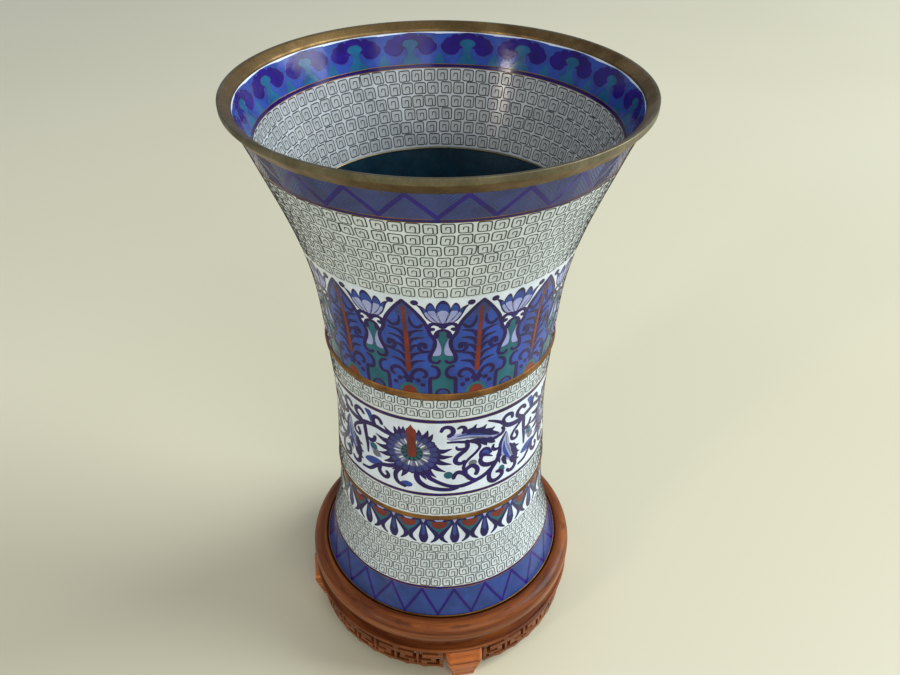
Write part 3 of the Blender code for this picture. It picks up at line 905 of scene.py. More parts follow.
def lotus_buds():
    """A flower on two volutes, a bud between two drops, and a stem on a pedestal."""
    band = LEAVES
    column = [(0, 204), (5.4, 204), (5.4, 165), (0, 165)]
    band.fill("teal", about(BUD, column + [(-x, y) for x, y in reversed(column)]), sharp=True)
    for side in (-1, 1):
        drop = [(2.0, 201.6), (0.9, 198.2), (0.5, 195.2), (0.8, 192.6), (1.8, 191.5), (4.2, 191.4),
                (4.8, 195), (4.0, 200), (3.2, 202.6)]
        band.fill("lavender", [(BUD + side * x, y) for x, y in drop], wired=True)
    top_of_stem = [(0, 208.2), (1.8, 207.6), (2.6, 205.6), (2.4, 203.4), (1.2, 202), (0, 201)]
    band.pair("teal", about(BUD, top_of_stem), BUD)
    outer = ([(1.4, 211.6), (4.2, 212.9), (6.3, 215.4), (7.6, 218.8), (8.7, 222.2), (9.9, 224.2),
              (8.0, 223.4), (6.5, 221.6), (5.4, 218.6), (3.4, 214.4)],
             [(5.6, 219.4), (6.4, 220.9), (7.6, 222.3), (7.3, 220.2), (6.6, 217.8), (5.9, 217.4)],
             [(1.8, 212.0), (4.1, 213.5), (5.8, 215.9), (6.9, 218.6), (6.2, 219.7), (5.5, 218.4),
              (3.6, 214.6)])
    inner = ([(0.8, 211.6), (3.4, 214.6), (5.5, 218.4), (6.4, 221.4), (5.9, 224.2), (4.7, 225.9),
              (3.7, 224.8), (2.8, 221.8), (2.2, 217.6)],
             [(2.9, 219.4), (3.2, 221.8), (4.0, 224.2), (5.2, 224.0), (5.9, 221.6), (5.5, 219.4),
              (4.2, 218.6)],
             [(1.0, 212.0), (3.2, 214.9), (5.2, 218.4), (5.5, 220.2), (4.2, 220.6), (3.0, 220.2),
              (2.4, 217.4)])
    central = ([(0, 211.4), (0.9, 213.0), (2.0, 217.6), (2.7, 221.4), (2.4, 224.2), (1.2, 226.8), (0, 227.6)],
               [(0, 218.2), (1.9, 219.0), (2.3, 221.4), (2.0, 223.6), (1.0, 225.0), (0, 225.4)],
               [(0, 211.8), (0.7, 213.4), (1.8, 217.8), (2.0, 219.4), (1.0, 220.6), (0, 220.9)])
    for rim, blue, pale in (outer, inner, central):
        for side in (-1, 1):
            for colour, petal, wired in (("navy", rim, True), ("cobalt", blue, False),
                                         ("lavender", pale, False)):
                if petal[0][0] == 0:
                    band.pair(colour, about(BUD, petal), BUD, wired)
                else:
                    band.fill(colour, [(BUD + side * x, y) for x, y in petal], wired)
    bar = [(-0.3, 210.7), (1.8, 211.7), (3.6, 212.2), (5.1, 211.2), (5.5, 209.6), (4.8, 208.4), (3.9, 208.7)]
    band.both("purple", about(BUD, bar), [3.0, 1.9, 1.6, 1.7, 1.7, 1.8, 1.7], BUD)
    arch = [(4.2, 203.2), (2.7, 204.2), (2.4, 206.2), (1.4, 207.6), (0, 208.2)]
    band.both("purple", about(BUD, arch), [1.6, 2.6, 1.8, 1.4, 1.4], BUD)
    band.dot("purple", (BUD, 166.0), 4.0)
    band.dot("slate", (BUD, 166.0), 2.7, wired=False, tall=1.15)


def leaf_outline():
    """The right side of a leaf, from its tip down to its foot."""
    upper = [(0, 226.2), (2.4, 222.8), (5.4, 217.8), (7.8, 213), (9.1, 208.5), (9.9, 205.3), (11.2, 202.8),
             (11.8, 200.2), (11.4, 196.6), (10.2, 193.2), (9.5, 190.2), (9.8, 187.9)]
    curl = [(11.3, 186.9), (12.9, 186.9), (13.7, 188.0)]
    lower = [(10.4, 184.6), (12.1, 183.9), (13.3, 181.6), (13.2, 178.6), (11.9, 176.9), (9.9, 176.6),
             (9.4, 174.6), (9.3, 165.5)]
    return upper, curl, lower


def leaves():
    band = LEAVES
    upper, curl, lower = leaf_outline()
    band.pair("leaf blue", about(LEAF, upper + lower), LEAF)
    tip_of_leaf = [(0, 225), (2.2, 221.6), (3.6, 218.2), (1.8, 216.4), (0, 218)]
    band.pair("dusk", about(LEAF, tip_of_leaf), LEAF)
    for side in (-1, 1):
        for height in (204, 199.3, 194.6, 189.4, 184.2):
            vein = [(0.7, height - 1.2), (2.2, height + 1.6), (4.4, height + 3.0), (7.2, height + 3.6)]
            band.stroke("navy", [(LEAF + side * x, y) for x, y in vein], [2.1, 1.8, 1.2, 0.5])
    band.stroke("rust", about(LEAF, [(-0.2, 221.5), (0.1, 196), (0, 181)]), [1.2, 1.8, 2.1, 2.2])
    band.both("navy", about(LEAF, [(2.0, 216), (2.2, 212.6), (3.6, 209.8), (5.6, 209.6), (6.8, 211.2)]),
              [0.6, 1.4, 1.6, 1.2], LEAF)
    circle = [(9.2, 194.0), (6.8, 193.8), (5.3, 195.6), (5.7, 198.2), (7.4, 198.5), (7.7, 196.9)]
    band.both("navy", about(LEAF, circle), [1.4, 1.7, 1.9, 2.1, 2.2], LEAF)
    hoop = [(0.5, 172), (0.9, 176.6), (2.8, 180.6), (5.4, 181.9), (7.6, 180.2), (7.7, 177.8), (6.6, 177.0)]
    band.both("purple", about(LEAF, hoop), [2.0, 1.7, 1.8, 1.7, 1.2], LEAF)
    band.both("purple", about(LEAF, upper + curl), [1.4, 1.6, 1.7, 1.7, 1.3], LEAF)
    band.both("purple", about(LEAF, lower), [1.2, 1.6, 1.6, 1.7, 1.8], LEAF)
    for side in (-1, 1):
        band.dot("purple", (LEAF + side * 1.7, 175.6), 1.2)
        band.dot("purple", (LEAF + side * 4.1, 174.6), 1.4)
        band.dot("purple", (LEAF + side * 6.2, 171.8), 1.3)
        band.dot("purple", (LEAF + side * 4.6, 225.4), 1.65)
    band.dot("teal", (LEAF, 166), 6.0, tall=1.1)
    band.dot("rust", (LEAF, 166), 3.9, tall=1.2)


lotus_buds()
leaves()
LEAVES.build("blue_enamel")


# Lotus scroll: four open flowers, joined by scrolling stems and feathered leaves

SCROLL = Zone("enamel_lotus_scroll", "white", 4, -59.8)
HEART = (-14.8, 121.5)
SCROLL.weight = 1.42


def lotus_flower():
    """A frilled heart with a flame on it, in a ring of long spikes. Drawn in millimetres."""
    band = SCROLL
    centre = band.flat(HEART)
    tips = [(-6.3, 139), (-4, 136.5), (5.3, 125.5), (5.6, 120), (5.2, 114.3), (2, 109), (-2.6, 105),
            (-7.6, 103.0), (-20.6, 102.4), (-25.6, 105.6), (-30.2, 109.6), (-33.2, 114.6), (-35, 120.2),
            (-34.6, 127.3), (-29.2, 135.6), (-23.5, 138), (-20.8, 139), (-18.6, 139.5), (-10.8, 139)]
    for tip in tips:
        out = band.flat(tip) - centre
        reach = np.linalg.norm(out)
        ahead = out / reach
        across = np.array((-ahead[1], ahead[0])) * (1 if tip[0] > HEART[0] else -1)
        path = [centre + ahead * 12.4, centre + ahead * (reach * 0.45 + 7.0) - across * 0.7, centre + out]
        band.flat_stroke("purple", path, [3.6, 2.7, 1.6, 0.4])
    lobes, steps = 20, 60
    frill = np.cos(lobes * np.arange(steps) * math.tau / steps)
    for colour, radius, depth, wired in (("navy", 15.0, 0.5, True), ("dusk", 14.0, 0.35, False),
                                         ("olive", 9.8, 0.6, False)):
        band.shape(colour, centre + circle(steps) * (radius + depth * frill)[:, None], wired)
    for i in range(lobes):
        out = ray((i + 0.5) / lobes)
        band.flat_stroke("purple", [centre + out * 11.0, centre + out * 14.6], [0.3, 0.6, 0.9], False)
    streaks = 30
    for i in range(streaks):
        out = ray((i + 0.5 * chance.random()) / streaks)
        path = [centre + out * 6.6, centre + out * (9.0 + 1.2 * chance.random())]
        band.flat_stroke(("white", "lavender", "dusk")[i % 3], path, [0.4, 0.7, 0.3], False)
    band.shape("deep teal", centre + circle(steps) * 6.0)
    seeds = 12
    for i in range(seeds):
        out = ray(i / seeds)
        band.flat_stroke("teal", [centre + out * 3.0, centre + out * 5.8], [0.3, 1.1, 0.4], False)
    flame = [(0, 142.2), (1.3, 139.8), (2.5, 138.2), (2.6, 134), (2.3, 133.2), (2.3, 121), (1.5, 118.7),
             (0, 118)]
    band.pair("rust", about(HEART[0], flame), HEART[0], wired=True)


def barbs(ends, bow, widths):
    """Short pointed strokes on a leaf, from (root, tip) pairs, each bowed by this much."""
    for root, tip in ends:
        middle = [(a + b) / 2 + c for a, b, c in zip(root, tip, bow)]
        SCROLL.stroke("navy", [root, middle, tip], widths)


def scroll_leaves():
    """Feathered leaves and buds."""
    band = SCROLL
    blade = [(2.9, 133.4), (5, 135.6), (9, 136.3), (14, 136.9), (19, 135.7), (23, 133.6), (27, 130.8),
             (30.5, 128.6), (27, 127.3), (22, 128.6), (17, 130), (11, 130), (6, 130.6)]
    band.fill("lavender", blade, wired=True)
    band.stroke("cobalt", [(8, 134.4), (14, 134.9), (20, 133.2), (26, 130.2)], [0.5, 1.5, 0.6], False)
    band.stroke("olive", [(5, 132.2), (12, 132.8), (19, 131.3), (26, 128.8)], [0.4, 0.9, 0.4], False)
    band.stroke("white", [(6, 131.2), (13, 131.2), (20, 129.9)], [0.4, 0.9, 0.4], False)
    band.stroke("navy", [(10.5, 136.6), (15, 137.2), (19, 136.1), (23, 134.1), (27, 131.3), (30, 129.6)],
                [0.8, 2.6, 2.8, 2.2, 1.2])
    band.stroke("navy", [(3.4, 130.4), (8, 130.4), (13, 129.6), (18, 129.5), (22, 128.1), (26, 126.8),
                         (30, 127.1)], [0.9, 1.6, 2.2, 1.6])
    barbs([((14.0, 137.0), (17.4, 141.2)), ((18.6, 136.2), (22.8, 139.2)), ((22.6, 134.2), (27.6, 135.4)),
           ((21.0, 128.2), (23.6, 123.6)), ((25.0, 127.0), (28.4, 123.8))], (0.5, -0.5), [3.0, 1.9, 0.4])
    blade = [(34.6, 128.2), (33.2, 124), (32.2, 120), (32.4, 115), (32.8, 111), (34.6, 108.6), (37.2, 105.6),
             (40.6, 103.4), (41.6, 107), (40.4, 111.6), (38.6, 116), (37.2, 121), (36.2, 126)]
    band.fill("lavender", blade, wired=True)
    band.stroke("cobalt", [(34.2, 121), (34.6, 115), (36.6, 109.6), (39.4, 105)], [0.5, 1.7, 1.6, 0.5], False)
    band.stroke("olive", [(35.4, 125), (36.2, 118), (38.4, 111.6), (40, 107)], [0.4, 1.0, 0.4], False)
    band.stroke("navy", [(35, 127.8), (33, 124), (31.8, 120), (31.6, 115.6), (31, 111.4), (31.8, 106.6)],
                [0.6, 1.4, 1.6, 2.4, 0.5])
    band.stroke("navy", [(38.4, 117), (40.6, 112.6), (42.2, 108), (42.2, 104), (40.6, 102.6), (38.6, 105.4)],
                [0.8, 2.6, 2.8, 2.0, 0.8])
    barbs([((40.4, 114.2), (44.8, 112.4)), ((42, 109.6), (45.4, 107.2)), ((42, 104.6), (45, 102.2)),
           ((34.4, 108.8), (36.4, 103.0))], (-0.3, -0.7), [2.6, 1.7, 0.4])
    band.fill("cobalt", [(46.6, 104.2), (49.4, 107.4), (54, 108.7), (58.4, 107.6), (57.6, 104.6),
                         (53, 103.1), (49.6, 102.8)], wired=True)
    band.fill("cobalt", [(49.2, 142.4), (51.2, 138), (52.5, 134.4), (55, 133.8), (54.9, 137), (53.8, 140.4),
                         (52.6, 142.8)], wired=True)
    band.fill("lavender", [(50, 118.6), (53.5, 118.8), (56.4, 115), (58.2, 111.2), (55.6, 110.4),
                           (51.6, 113.4)])
    band.dot("teal", (53.2, 116.8), 2.3)
    band.dot("olive", (54.8, 112.4), 2.4)
    band.dot("olive", (16.3, 113.0), 2.3)
    band.dot("teal", (3.7, 106.3), 2.5)
    band.dot("teal", (32.9, 101.2), 2.2, tall=1.35)
    band.fill("cobalt", [(20.6, 116.6), (21.4, 120), (23.5, 121), (25.6, 119), (26.2, 116.4), (23.4, 115.4)])
    band.fill("cobalt", [(-22.2, 96.2), (-20.4, 98.8), (-17.2, 99.7), (-14.8, 98.2), (-15.6, 96.2),
                         (-19, 95.2)], wired=True)


def scroll_stems():
    """Stems, tendrils and hooks, in the order that they leave the flower."""
    hooks = [
        ([(0.2, 138.8), (1, 140.8), (2.8, 141.9), (4.9, 141.2), (6, 139), (5.7, 136.9), (4, 135.2)],
         (1.3, 1.9, 1.8)),
        ([(8.5, 140.3), (10, 141.3), (11.5, 140.3), (11.9, 138.4), (11.2, 136.9)], (1.0, 1.7, 1.7)),
        ([(30, 127.3), (32.5, 128.4), (33.4, 130.5), (32.4, 132.5)], (1.6, 1.7, 1.2)),
        ([(13, 130), (13.3, 126), (12, 123.4), (9.5, 121), (7.6, 118.5), (7.3, 116), (8.5, 114.4),
          (10.3, 114.2), (11.8, 115.3)], (1.8, 2.0, 1.9, 1.6)),
        ([(7.7, 126.7), (8.2, 125.2), (10, 124.5), (12.5, 124.7)], (0.8, 1.5, 1.5)),
        ([(15.5, 129), (18, 127.6), (19.6, 125.5), (19.8, 123.3), (17.5, 120), (14.5, 117), (12.3, 114),
          (11.5, 111), (11.9, 108)], (1.3, 1.3, 1.2, 1.5)),
        ([(11.9, 106.4), (13.2, 109.6), (15.8, 111.2), (17.9, 109.8), (18.9, 107.3), (18.2, 104.7)],
         (1.4, 2.0, 1.8)),
        ([(12.5, 107.4), (13, 104.6), (15.2, 101.8), (18.8, 99.8)], (1.7, 1.5, 1.4)),
        ([(6.3, 104), (7, 106.2), (8.4, 107.8), (10.6, 107.3), (12.6, 105.4), (14.6, 102.4), (17.4, 99.9)],
         (1.5, 2.0, 1.7)),
        ([(-7.5, 108.5), (-6, 104.6), (-3, 102.2), (0, 100.3), (4, 98.3), (8, 97.5), (12, 97.9), (17, 99.5),
          (22, 101.5), (26, 104.4), (29, 108), (31.4, 112)], (2.2, 1.7, 1.8, 2.0, 2.2)),
        ([(-12.5, 108), (-12.2, 103), (-10, 99.5), (-6, 97.1), (0, 95.9), (5, 95.7), (8.5, 96.6)],
         (2.4, 2.2, 1.9, 1.4)),
        ([(-20.6, 109), (-23.4, 105), (-24, 101), (-22.6, 97.4), (-19, 95.6)], (2.2, 1.9, 1.8, 1.5)),
        ([(27, 114.2), (24.6, 115.8), (22, 117.4), (20.4, 114), (21.4, 110.8), (24, 109), (27.5, 108.6),
          (30.4, 109.2)], (0.6, 1.6, 2.2, 2.0)),
        ([(20.4, 116.4), (20.6, 119.4), (22.4, 121.4), (24.8, 120.6), (26.4, 117.4)], (1.2, 1.4, 1.0)),
        ([(27.7, 122), (27.2, 120), (28.4, 118.2), (30.6, 117.8)], (1.0, 1.6, 1.4)),
        ([(29.4, 108), (27, 105), (25.6, 102), (25.4, 98.5), (26.5, 95.9), (28.8, 94.9), (31, 95.5),
          (33, 97.1), (33.3, 99), (32, 100.5), (30.3, 101)], (1.8, 2.0, 2.0, 1.6)),
        ([(40, 106), (42, 102.5), (42.1, 99), (40, 96.9), (37.8, 97.2), (36.8, 98.5)], (1.8, 2.0, 1.4)),
        ([(46, 129.6), (43, 127.5), (40.5, 125), (39, 122), (40, 119.4), (42.5, 118.9), (43.4, 121),
          (42.5, 123.4)], (1.6, 1.4, 1.4, 1.6)),
        ([(24, 141.6), (28, 139.3), (32, 136.3), (35, 133), (39, 131.3), (44, 130.8), (47.4, 130.6)],
         (0.8, 1.7, 2.4, 2.6)),
        ([(33.5, 135.3), (32.7, 138), (34, 139.9), (36, 140.4), (38, 139.3), (38.5, 137)], (1.4, 1.9, 1.5)),
        ([(47, 131.4), (44, 133.5), (42, 136), (42.3, 138.5), (44.3, 140.1), (46.5, 139.6), (47.8, 138)],
         (1.8, 2.0, 1.6)),
        ([(46.6, 131), (51, 132.5), (56, 133), (60, 132), (64, 131.3)], (2.4, 2.0, 2.0, 2.2)),
        ([(47.6, 131), (48, 125), (48.5, 120), (49, 115), (49, 110.3)], (2.2, 1.9, 1.6, 0.9)),
        ([(48.3, 121.2), (51, 120.2), (53.5, 121.5), (54.4, 124.2)], (1.7, 2.0, 1.6)),
        ([(68.5, 110.6), (63, 107.5), (58, 105.8), (54, 102.5), (50, 98.5), (45, 97.3)],
         (2.2, 1.9, 1.7, 1.2)),
        ([(57, 105), (56.4, 101), (58.4, 98.2), (60.8, 97.9), (61.9, 100), (61, 101.8)], (1.8, 1.9, 1.5)),
        ([(55.2, 133), (54.2, 137), (55, 139.6), (57, 140.1), (58.7, 138.7), (59.3, 136.8)], (1.8, 1.9, 1.5)),
        ([(70.4, 131.2), (67, 128.6), (65, 124.8), (64.8, 119.4)], (1.2, 1.8, 1.6, 1.0)),
    ]
    for points, widths in hooks:
        SCROLL.stroke("purple", points, widths)


scroll_leaves()
scroll_stems()
lotus_flower()
SCROLL.build("white_enamel")


# Petal collar

COLLAR = Zone("enamel_petal_collar", "white", 22, -9.4)
PETAL = -1.2                # the axis of the first petal
half_step = COLLAR.period / 2
COLLAR.pair("lavender", about(PETAL, [(0, 72.4), (3.2, 72.4), (3.4, 70.6), (0, 70.2)]), PETAL)
COLLAR.pair("lake", about(PETAL, [(0, 70.6), (5.2, 70.9), (6.3, 69.6), (5.4, 67), (3.4, 64), (1.2, 61),
                                  (0, 59.4)]), PETAL)
COLLAR.pair("teal", about(PETAL, [(0, 66), (2.4, 66.2), (3.3, 64.8), (2.0, 62.4), (0.7, 60.4), (0, 59.8)]),
            PETAL)
COLLAR.pair("rust", about(PETAL, [(0, 70.4), (3.9, 70.2), (4.3, 69), (3.6, 66.8), (1.6, 65.2), (0, 64.7)]),
            PETAL, wired=True)
edge_of_petal = [(2.6, 70.7), (4.0, 71.7), (6.0, 71.7), (7.0, 70.1), (6.2, 67.8), (4.8, 65.2), (2.9, 62.4),
                 (1.5, 60), (1.2, 57.6), (2.2, 55.4), (4.1, 53.6)]
COLLAR.both("navy", about(PETAL, edge_of_petal), [1.6, 2.2, 1.7, 1.7, 3.0, 2.8, 1.0], PETAL)
drop = [(0, 52.7), (1.4, 53.6), (2.5, 57.4), (1.9, 62.4), (1.3, 67), (1.5, 71.2), (0, 72.4)]
COLLAR.pair("navy", about(PETAL + half_step, drop), PETAL + half_step, wired=True)
drop = [(0, 58.6), (0.9, 60.0), (1.0, 62.0), (0.7, 65.5), (0.4, 67.6), (0, 68)]
COLLAR.pair("slate", about(PETAL + half_step, drop), PETAL + half_step)
COLLAR.pair("lavender", about(PETAL + half_step, [(0, 69.0), (0.7, 70.6), (1.1, 72.3), (0, 72.6)]),
            PETAL + half_step)
COLLAR.build("white_enamel")


# Cloud band inside the mouth

CLOUDS = Zone("inner_cloud_band", "cobalt", 18, 160.0, inside=True)
CLOUD = 170.0               # the axis of the first cloud
CLOUDS.fill("white", [(159, 294.2), (163, 294.6), (167, 294.9), (171, 294.8), (175, 294.5), (181, 294.2),
                      (181, 296.5), (159, 296.5)], sharp=True)
CLOUDS.pair("lake", about(CLOUD + 10, [(0, 285.2), (0.8, 284.2), (1.2, 282.6), (2.2, 279), (0, 279)]),
            CLOUD + 10)
head = [(0, 294.9), (1.4, 294.7), (2.5, 293.9), (3.0, 293.3), (3.6, 294.0), (5.2, 293.7), (6.0, 292.6),
        (6.5, 292.5), (7.6, 292.0), (8.3, 290.6), (8.5, 290.1), (9.3, 289.0), (9.2, 286.9), (8.0, 285.2),
        (6.4, 284.1), (4.4, 284.2), (3.2, 285.4), (2.2, 287.4), (0, 286.8)]
CLOUDS.pair("violet", about(CLOUD, head), CLOUD, wired=True)
stalk = [(0, 291.8), (1.5, 291.5), (2.6, 290.2), (2.6, 288.9), (1.5, 287.6), (1.2, 285.6), (1.8, 283.4),
         (3.0, 281.8), (3.4, 279), (0, 279)]
CLOUDS.pair("lake", about(CLOUD, stalk), CLOUD, wired=True)
CLOUDS.build("blue_enamel")


# Turned brass, the plain lining and the base

def joint_band(node, proud):
    """A half-round brass band with a quirk along each edge."""
    low, high = zone(node)
    middle, half = (low + high) / 2, (high - low) / 2
    outline = []
    for t in np.linspace(1, -1, 15):
        height = middle + half * t
        swell = proud * (1 - abs(t) ** 2.6) + 0.12
        outline.append((wall_radius(height) + swell, FOOT_LINE + height))
    outline += [(wall_radius(height) - 0.5, FOOT_LINE + height) for height in (low, high)]
    turned(node, "_turned", outline, BRASS, "vase", "gilt_brass", wobble=0.03)


def mouth_rim():
    """A heavy rim: an upright edge in olive-grey, which paints in tarnish and a darker reflection, over a
    bevel, and a slope down to the lining.
    """
    low = zone("enamel_zigzag_mouth")[1] - 0.1
    lip = zone("inner_cloud_band")[1] - 0.1
    inside = wall_radius(lip) - LINING_DEPTH
    foot = wall_radius(low)
    corners = [
        (99.98, 299.78, 0.45), (99.9, 296.8, 0.5), (foot + 0.25, low, 0.3), (foot - 0.5, low, 0.0),
        (inside + 0.6, lip, 0.0), (inside - 0.1, lip, 0.2), (94.4, 296.5, 0.5), (98.4, 299.78, 0.7),
    ]
    outline = [(x, FOOT_LINE + y) for x, y in rounded(corners, steps=5)]
    rim = turned("mouth_rim", "_turned", outline, RIM_BRASS, "vase", "gilt_brass", wobble=0.015)
    rim.data.materials.append(RIM_PATINA_AND_REFLECTION)
    # The upright outer edge takes the olive-grey brass: tarnish with a painted reflection.
    for face in rim.data.polygons:
        x, y, z = face.center / MM
        face.material_index = int(math.hypot(x, y) > 98.2 and z - FOOT_LINE > 296.75)


def foot_ring():
    """The brass ring that the vase stands on, with rounded edges."""
    low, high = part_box("foot_ring")
    outer, top, bottom = high[0] / MM, high[2] / MM, low[2] / MM
    inner = outer - 3.5
    corners = [(outer - 0.2, top, 0.4), (outer, bottom, 0.8), (inner, bottom, 0.8), (inner, top, 0.4)]
    turned("foot_ring", "_turned", rounded(corners), BRASS, "vase", "gilt_brass", wobble=0.03)


def lining():
    """The plain enamel inside: a deep cup, with a soft corner where its floor begins."""
    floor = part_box("plain_lining")[0][2] / MM - FOOT_LINE + 0.5
    top = zone("plain_lining")[1]
    corner = 4.0
    heights = np.linspace(top, floor + corner, 60)
    wall = [(wall_radius(h) - LINING_DEPTH, FOOT_LINE + h) for h in heights]
    turn_radius = wall_radius(floor + corner) - LINING_DEPTH
    soft = [(turn_radius - corner * (1 - math.cos(t)), FOOT_LINE + floor + corner * (1 - math.sin(t)))
            for t in np.linspace(0, math.pi / 2, 7)[1:]]
    ring = [(r, FOOT_LINE + floor) for r in np.linspace(turn_radius - corner, 0.0, 14)[1:]]
    inner = wall + soft + ring
    outer = [(0.0, FOOT_LINE + floor - 0.3)]
    outer += [(wall_radius(h) - LINING_DEPTH + 0.3, FOOT_LINE + h) for h in (floor - 0.2, 30, 120, 200, top)]
    # Reversed, so that the outline runs down its outer side first.
    outline = list(reversed(inner + outer))
    turned("plain_lining", "_smooth", outline, ENAMEL["deep teal"], "vase", "teal_enamel", wobble=0.04)


def gilt_line():
    """The half-round wire at the top of the plain lining."""
    low, high = zone("inner_gilt_line")
    outline = [(wall_radius(h) - LINING_DEPTH + 0.3, FOOT_LINE + h) for h in (high, low)]
    for t in np.linspace(-1, 1, 9):
        height = (low + high) / 2 + (high - low) / 2 * t
        radius = wall_radius(height) - LINING_DEPTH - 0.35 * (1 - t * t) - 0.03
        outline.append((radius, FOOT_LINE + height))
    turned("inner_gilt_line", "_turned", outline, RIM_PATINA_AND_REFLECTION, "vase", "gilt_brass", wobble=0.03)


def base_underside():
    """The slightly uneven enamel under the base."""
    low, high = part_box("base_enamel")
    radius, top, bottom = high[0] / MM, high[2] / MM, low[2] / MM
    outline = [(0.0, top), (radius - 0.2, top), (radius, top - 0.2), (radius, bottom + 0.2),
               (radius - 0.2, bottom)]
    outline += [(radius * k / 12, bottom + 0.1 * math.sin(k)) for k in range(11, -1, -1)]
    turned("base_enamel", "_smooth", outline, ENAMEL["deep teal"], "vase", "teal_enamel")


joint_band("upper_joint_band", 0.85)
joint_band("lower_joint_band", 0.5)
mouth_rim()
foot_ring()
lining()
gilt_line()
base_underside()


# Stand

RING_RADIUS = 85.6          # outermost radius of the top ring
RECESS = 76.4               # radius of the recess that the vase stands in
CREST = 52.0                # height of the top ring's crest
APRON_FACE = 83.0           # outer and inner radius of the openwork
APRON_BACK = 79.0
APRON_LOW = 9.2             # lower edge of the openwork
FOOT_TOP = 27.7             # top of the openwork and of the feet
FOOT_SPACE = 12.1           # half of the gap that the openwork leaves for a foot
SLOT_WIDTH = 2.3            # width of the openwork's slots


def curve_between(start, pull_start, pull_end, end, steps):
    """Points along a cubic curve, both ends included."""
    t = np.linspace(0, 1, steps + 1)[:, None]
    parts = [np.array(p, float) for p in (start, pull_start, pull_end, end)]
    return ((1 - t) ** 3 * parts[0] + 3 * (1 - t) ** 2 * t * parts[1] + 3 * (1 - t) * t ** 2 * parts[2]
            + t ** 3 * parts[3])


def top_ring():
    """The round moulding on top: a domed face, a hollow under it, and the recess for the vase."""
    outer = curve_between((RECESS + 1.4, CREST), (RING_RADIUS - 0.6, CREST), (RING_RADIUS, 47.5),
                          (RING_RADIUS, 44), 16)
    under = curve_between((RING_RADIUS, 44), (RING_RADIUS, 40.2), (84.2, 38.2), (80.9, 37.9), 10)
    inside = [(80.9, 35), (80.3, 35), (80.3, 47.3), (RECESS, 47.3), (RECESS, 51.1), (RECESS + 0.3, 51.7),
              (RECESS + 0.8, 51.95)]
    outline = [*outer, *under[1:], *inside]
    turned("stand_top_ring", "_carved", outline, WOOD, "stand", "rosewood", wobble=0.05)


def waist_ring():
    """The waist under the top ring: a hollow that runs out to a round bead."""
    waist, back, shoulder = 78.6, 69, 83.0
    top, bottom = 40.7, 28.0
    bead_centre, bead_height, bead = 84.4, 29.2, 1.1
    hollow = curve_between((waist, 35), (77.8, 32.5), (waist, 30.6), (82.4, 30.4), 10)
    round_bead = [(bead_centre + bead * math.cos(t), bead_height + bead * math.sin(t))
                  for t in np.linspace(1.45, -1.45, 11)]
    outline = [(waist, top), *hollow, (shoulder, 30.1), *round_bead, (shoulder, bottom), (back, bottom),
               (back, top)]
    turned("stand_waist_ring", "_carved", outline, WOOD, "stand", "rosewood", wobble=0.05)


def band_outline(points, width):
    """A slot of even width along a path, with square corners."""
    path = np.array(points, float)
    side = sideways(path) * width / 2
    return np.vstack([path + side, (path - side)[::-1]])


def apron_slots(start, end, low, high):
    """Angular scroll slots in two tiers, turned the other way in every second cell."""
    cells = 7
    step = (end - start) / cells
    tall = high - low
    hook = [(0.12, 0.88), (0.87, 0.88), (0.87, 0.42), (0.44, 0.42)]
    stair = [(0.13, 0.58), (0.13, 0.12), (0.60, 0.12)]
    block = [(0.84, 0.17), (0.98, 0.17)]
    slots = []
    for i in range(cells):
        for path in (hook, stair, block):
            points = []
            for x, y in path:
                across = x if i % 2 else 1 - x
                points.append((start + step * (i + across) + chance.normal(0, 0.12), low + tall * y))
            slots.append(band_outline(points, SLOT_WIDTH))
    return slots


def apron_scallops(start, width):
    """Shallow arches, to be cut out of the lower edge."""
    count, rise = 9, 1.1
    reach = width / count * 0.42
    scallops = []
    for i in range(count):
        centre = start + width * (i + 0.5) / count
        arch = [(centre + reach * math.cos(t), APRON_LOW + rise * math.sin(t))
                for t in np.linspace(0.2, math.pi - 0.2, 7)]
        below = [(centre - reach, APRON_LOW - 0.5), (centre + reach, APRON_LOW - 0.5)]
        scallops.append(np.array(below + arch))
    return scallops


def bent_board(points, faces, middle_angle):
    """Thicken a flat cut-out and bend it round the stand's axis."""
    turn = points[:, 0] / APRON_FACE + middle_angle
    sides = [np.stack([radius * np.sin(turn), -radius * np.cos(turn), points[:, 1]], axis=1)
             for radius in (APRON_FACE, APRON_BACK)]
    count = len(points)
    edges = dict.fromkeys((a, b) for face in faces for a, b in zip(face, np.roll(face, -1)))
    rim = [(a, b) for a, b in edges if (b, a) not in edges]
    all_faces = faces.tolist() + (faces[:, ::-1] + count).tolist()
    all_faces += [(b, a, a + count, b + count) for a, b in rim]
    return np.vstack(sides) * MM, all_faces


def apron(node, middle_angle):
    """One span of openwork between two feet: cut flat, thickened, bent round and softened."""
    half_angle = math.pi / 4 - math.asin(FOOT_SPACE / APRON_BACK)
    width = 2 * half_angle * APRON_FACE
    start = -width / 2
    slots = apron_slots(start + 1.6, -start - 1.6, APRON_LOW + 2.6, FOOT_TOP - 2.8)
    outlines = slots + apron_scallops(start, width)
    points, faces = triangles(start, width, APRON_LOW, FOOT_TOP, outlines, 2.0)
    middle = points[faces].mean(axis=1)
    open_here = np.zeros(len(faces), bool)
    for outline in outlines:
        open_here |= covered(outline, middle[:, 0], middle[:, 1])
    used, faces = np.unique(faces[~open_here], return_inverse=True)
    places, faces = bent_board(points[used], faces.reshape(-1, 3), middle_angle)
    piece = add_piece(node + "_carved", places, faces, materials=[WOOD])
    soften = piece.modifiers.new("softened", "BEVEL")
    soften.width = 0.4 * MM
    soften.segments = 2
    soften.limit_method = "ANGLE"
    soften.angle_limit = math.radians(45)
    soften.harden_normals = False
    ride(piece, "stand", "rosewood", node)


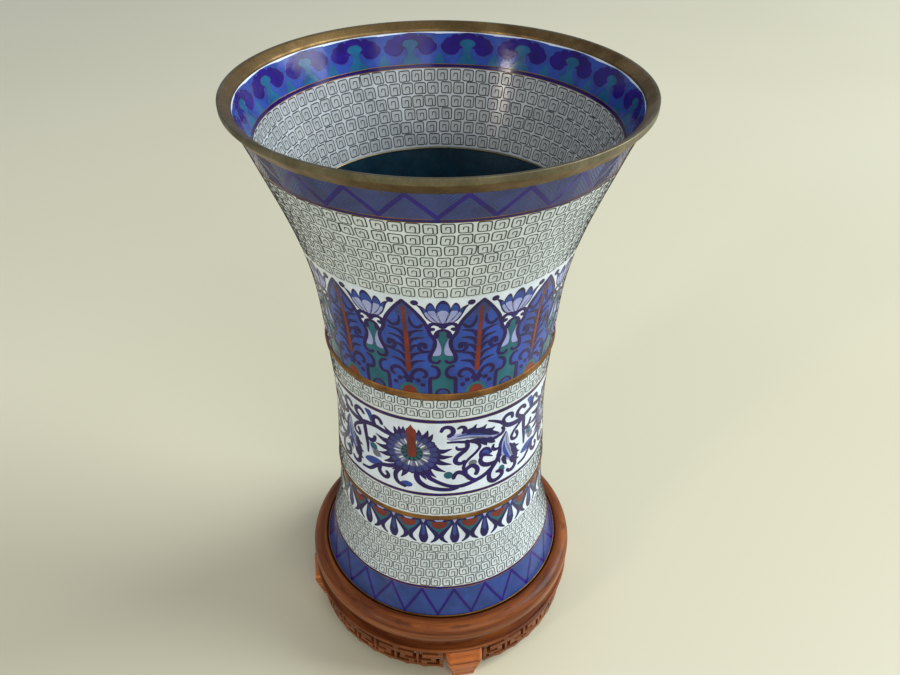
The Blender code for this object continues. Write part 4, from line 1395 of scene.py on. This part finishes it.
def foot(node, turn):
    """A cabriole foot: a bulging knee between two carved beads, narrowing to its sole."""
    rows, columns = 30, 40
    knee_half, sole_share = 11.5, 0.652     # half of the knee's width, and the sole's share of it
    squareness = 0.42                       # of the section: 1 is round, and near 0 is square
    # A bead and a groove down each side of the face: place and width as shares of the half width,
    # and height in millimetres.
    carving = ((0.80, 0.11, 0.55), (0.56, 0.10, -0.30))
    front = curve_between((85.0, FOOT_TOP), (92.0, 20.0), (85.0, 8.0), (83.5, 0.0), rows)
    back = curve_between((69.5, FOOT_TOP), (69.5, 14.0), (76.5, 8.0), (77.0, 0.0), rows)
    places = []
    for front_r, z in front:
        half = knee_half * (sole_share + (1 - sole_share) * min(1.0, z / FOOT_TOP * 1.5) ** 1.3)
        back_r = float(np.interp(z, back[::-1, 1], back[::-1, 0]))
        middle, deep = (front_r + back_r) / 2, (front_r - back_r) / 2
        for k in range(columns):
            forward, sideward = ray(k / columns)
            across = math.copysign(abs(sideward) ** squareness, sideward) * half
            out = math.copysign(abs(forward) ** squareness, forward) * deep
            if forward > 0.3:
                for place, wide, tall in carving:
                    out += tall * math.exp(-((abs(across) / half - place) / wide) ** 2)
            places.append((across, -(middle + out), z))
    faces = []
    for i in range(rows):
        for k in range(columns):
            a, b = i * columns, (i + 1) * columns
            n = (k + 1) % columns
            faces.append((a + k, b + k, b + n, a + n))
    faces.append(tuple(range(columns)))
    faces.append(tuple(reversed(range(rows * columns, (rows + 1) * columns))))
    places = np.array(places)
    spin = np.array([[math.cos(turn), math.sin(turn), 0], [-math.sin(turn), math.cos(turn), 0], [0, 0, 1]])
    # The feet take the brightened wood: painted light.
    piece = add_piece(node + "_carved", places @ spin * MM, faces, materials=[LIT_FOOT_WOOD])
    piece.data.set_sharp_from_angle(angle=math.radians(50))
    ride(piece, "stand", "rosewood", node)


top_ring()
waist_ring()
for i in range(4):
    apron(f"stand_apron_{i + 1}", math.pi / 2 * i + math.pi / 4)
    foot(f"stand_foot_{i + 1}", math.pi / 2 * i)


# CAD nodes that stay

KEPT = {"stand_floor_board": BOARD_WOOD}
KEPT.update({name: COPPER for name in ("trumpet_shell", "waist_shell", "foot_shell", "base_plate")})
KEPT.update({f"foot_dowel_{i + 1}": WOOD for i in range(4)})
for name, material in KEPT.items():
    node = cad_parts[name]
    for slot_of_node in node.material_slots:
        slot_of_node.material = material
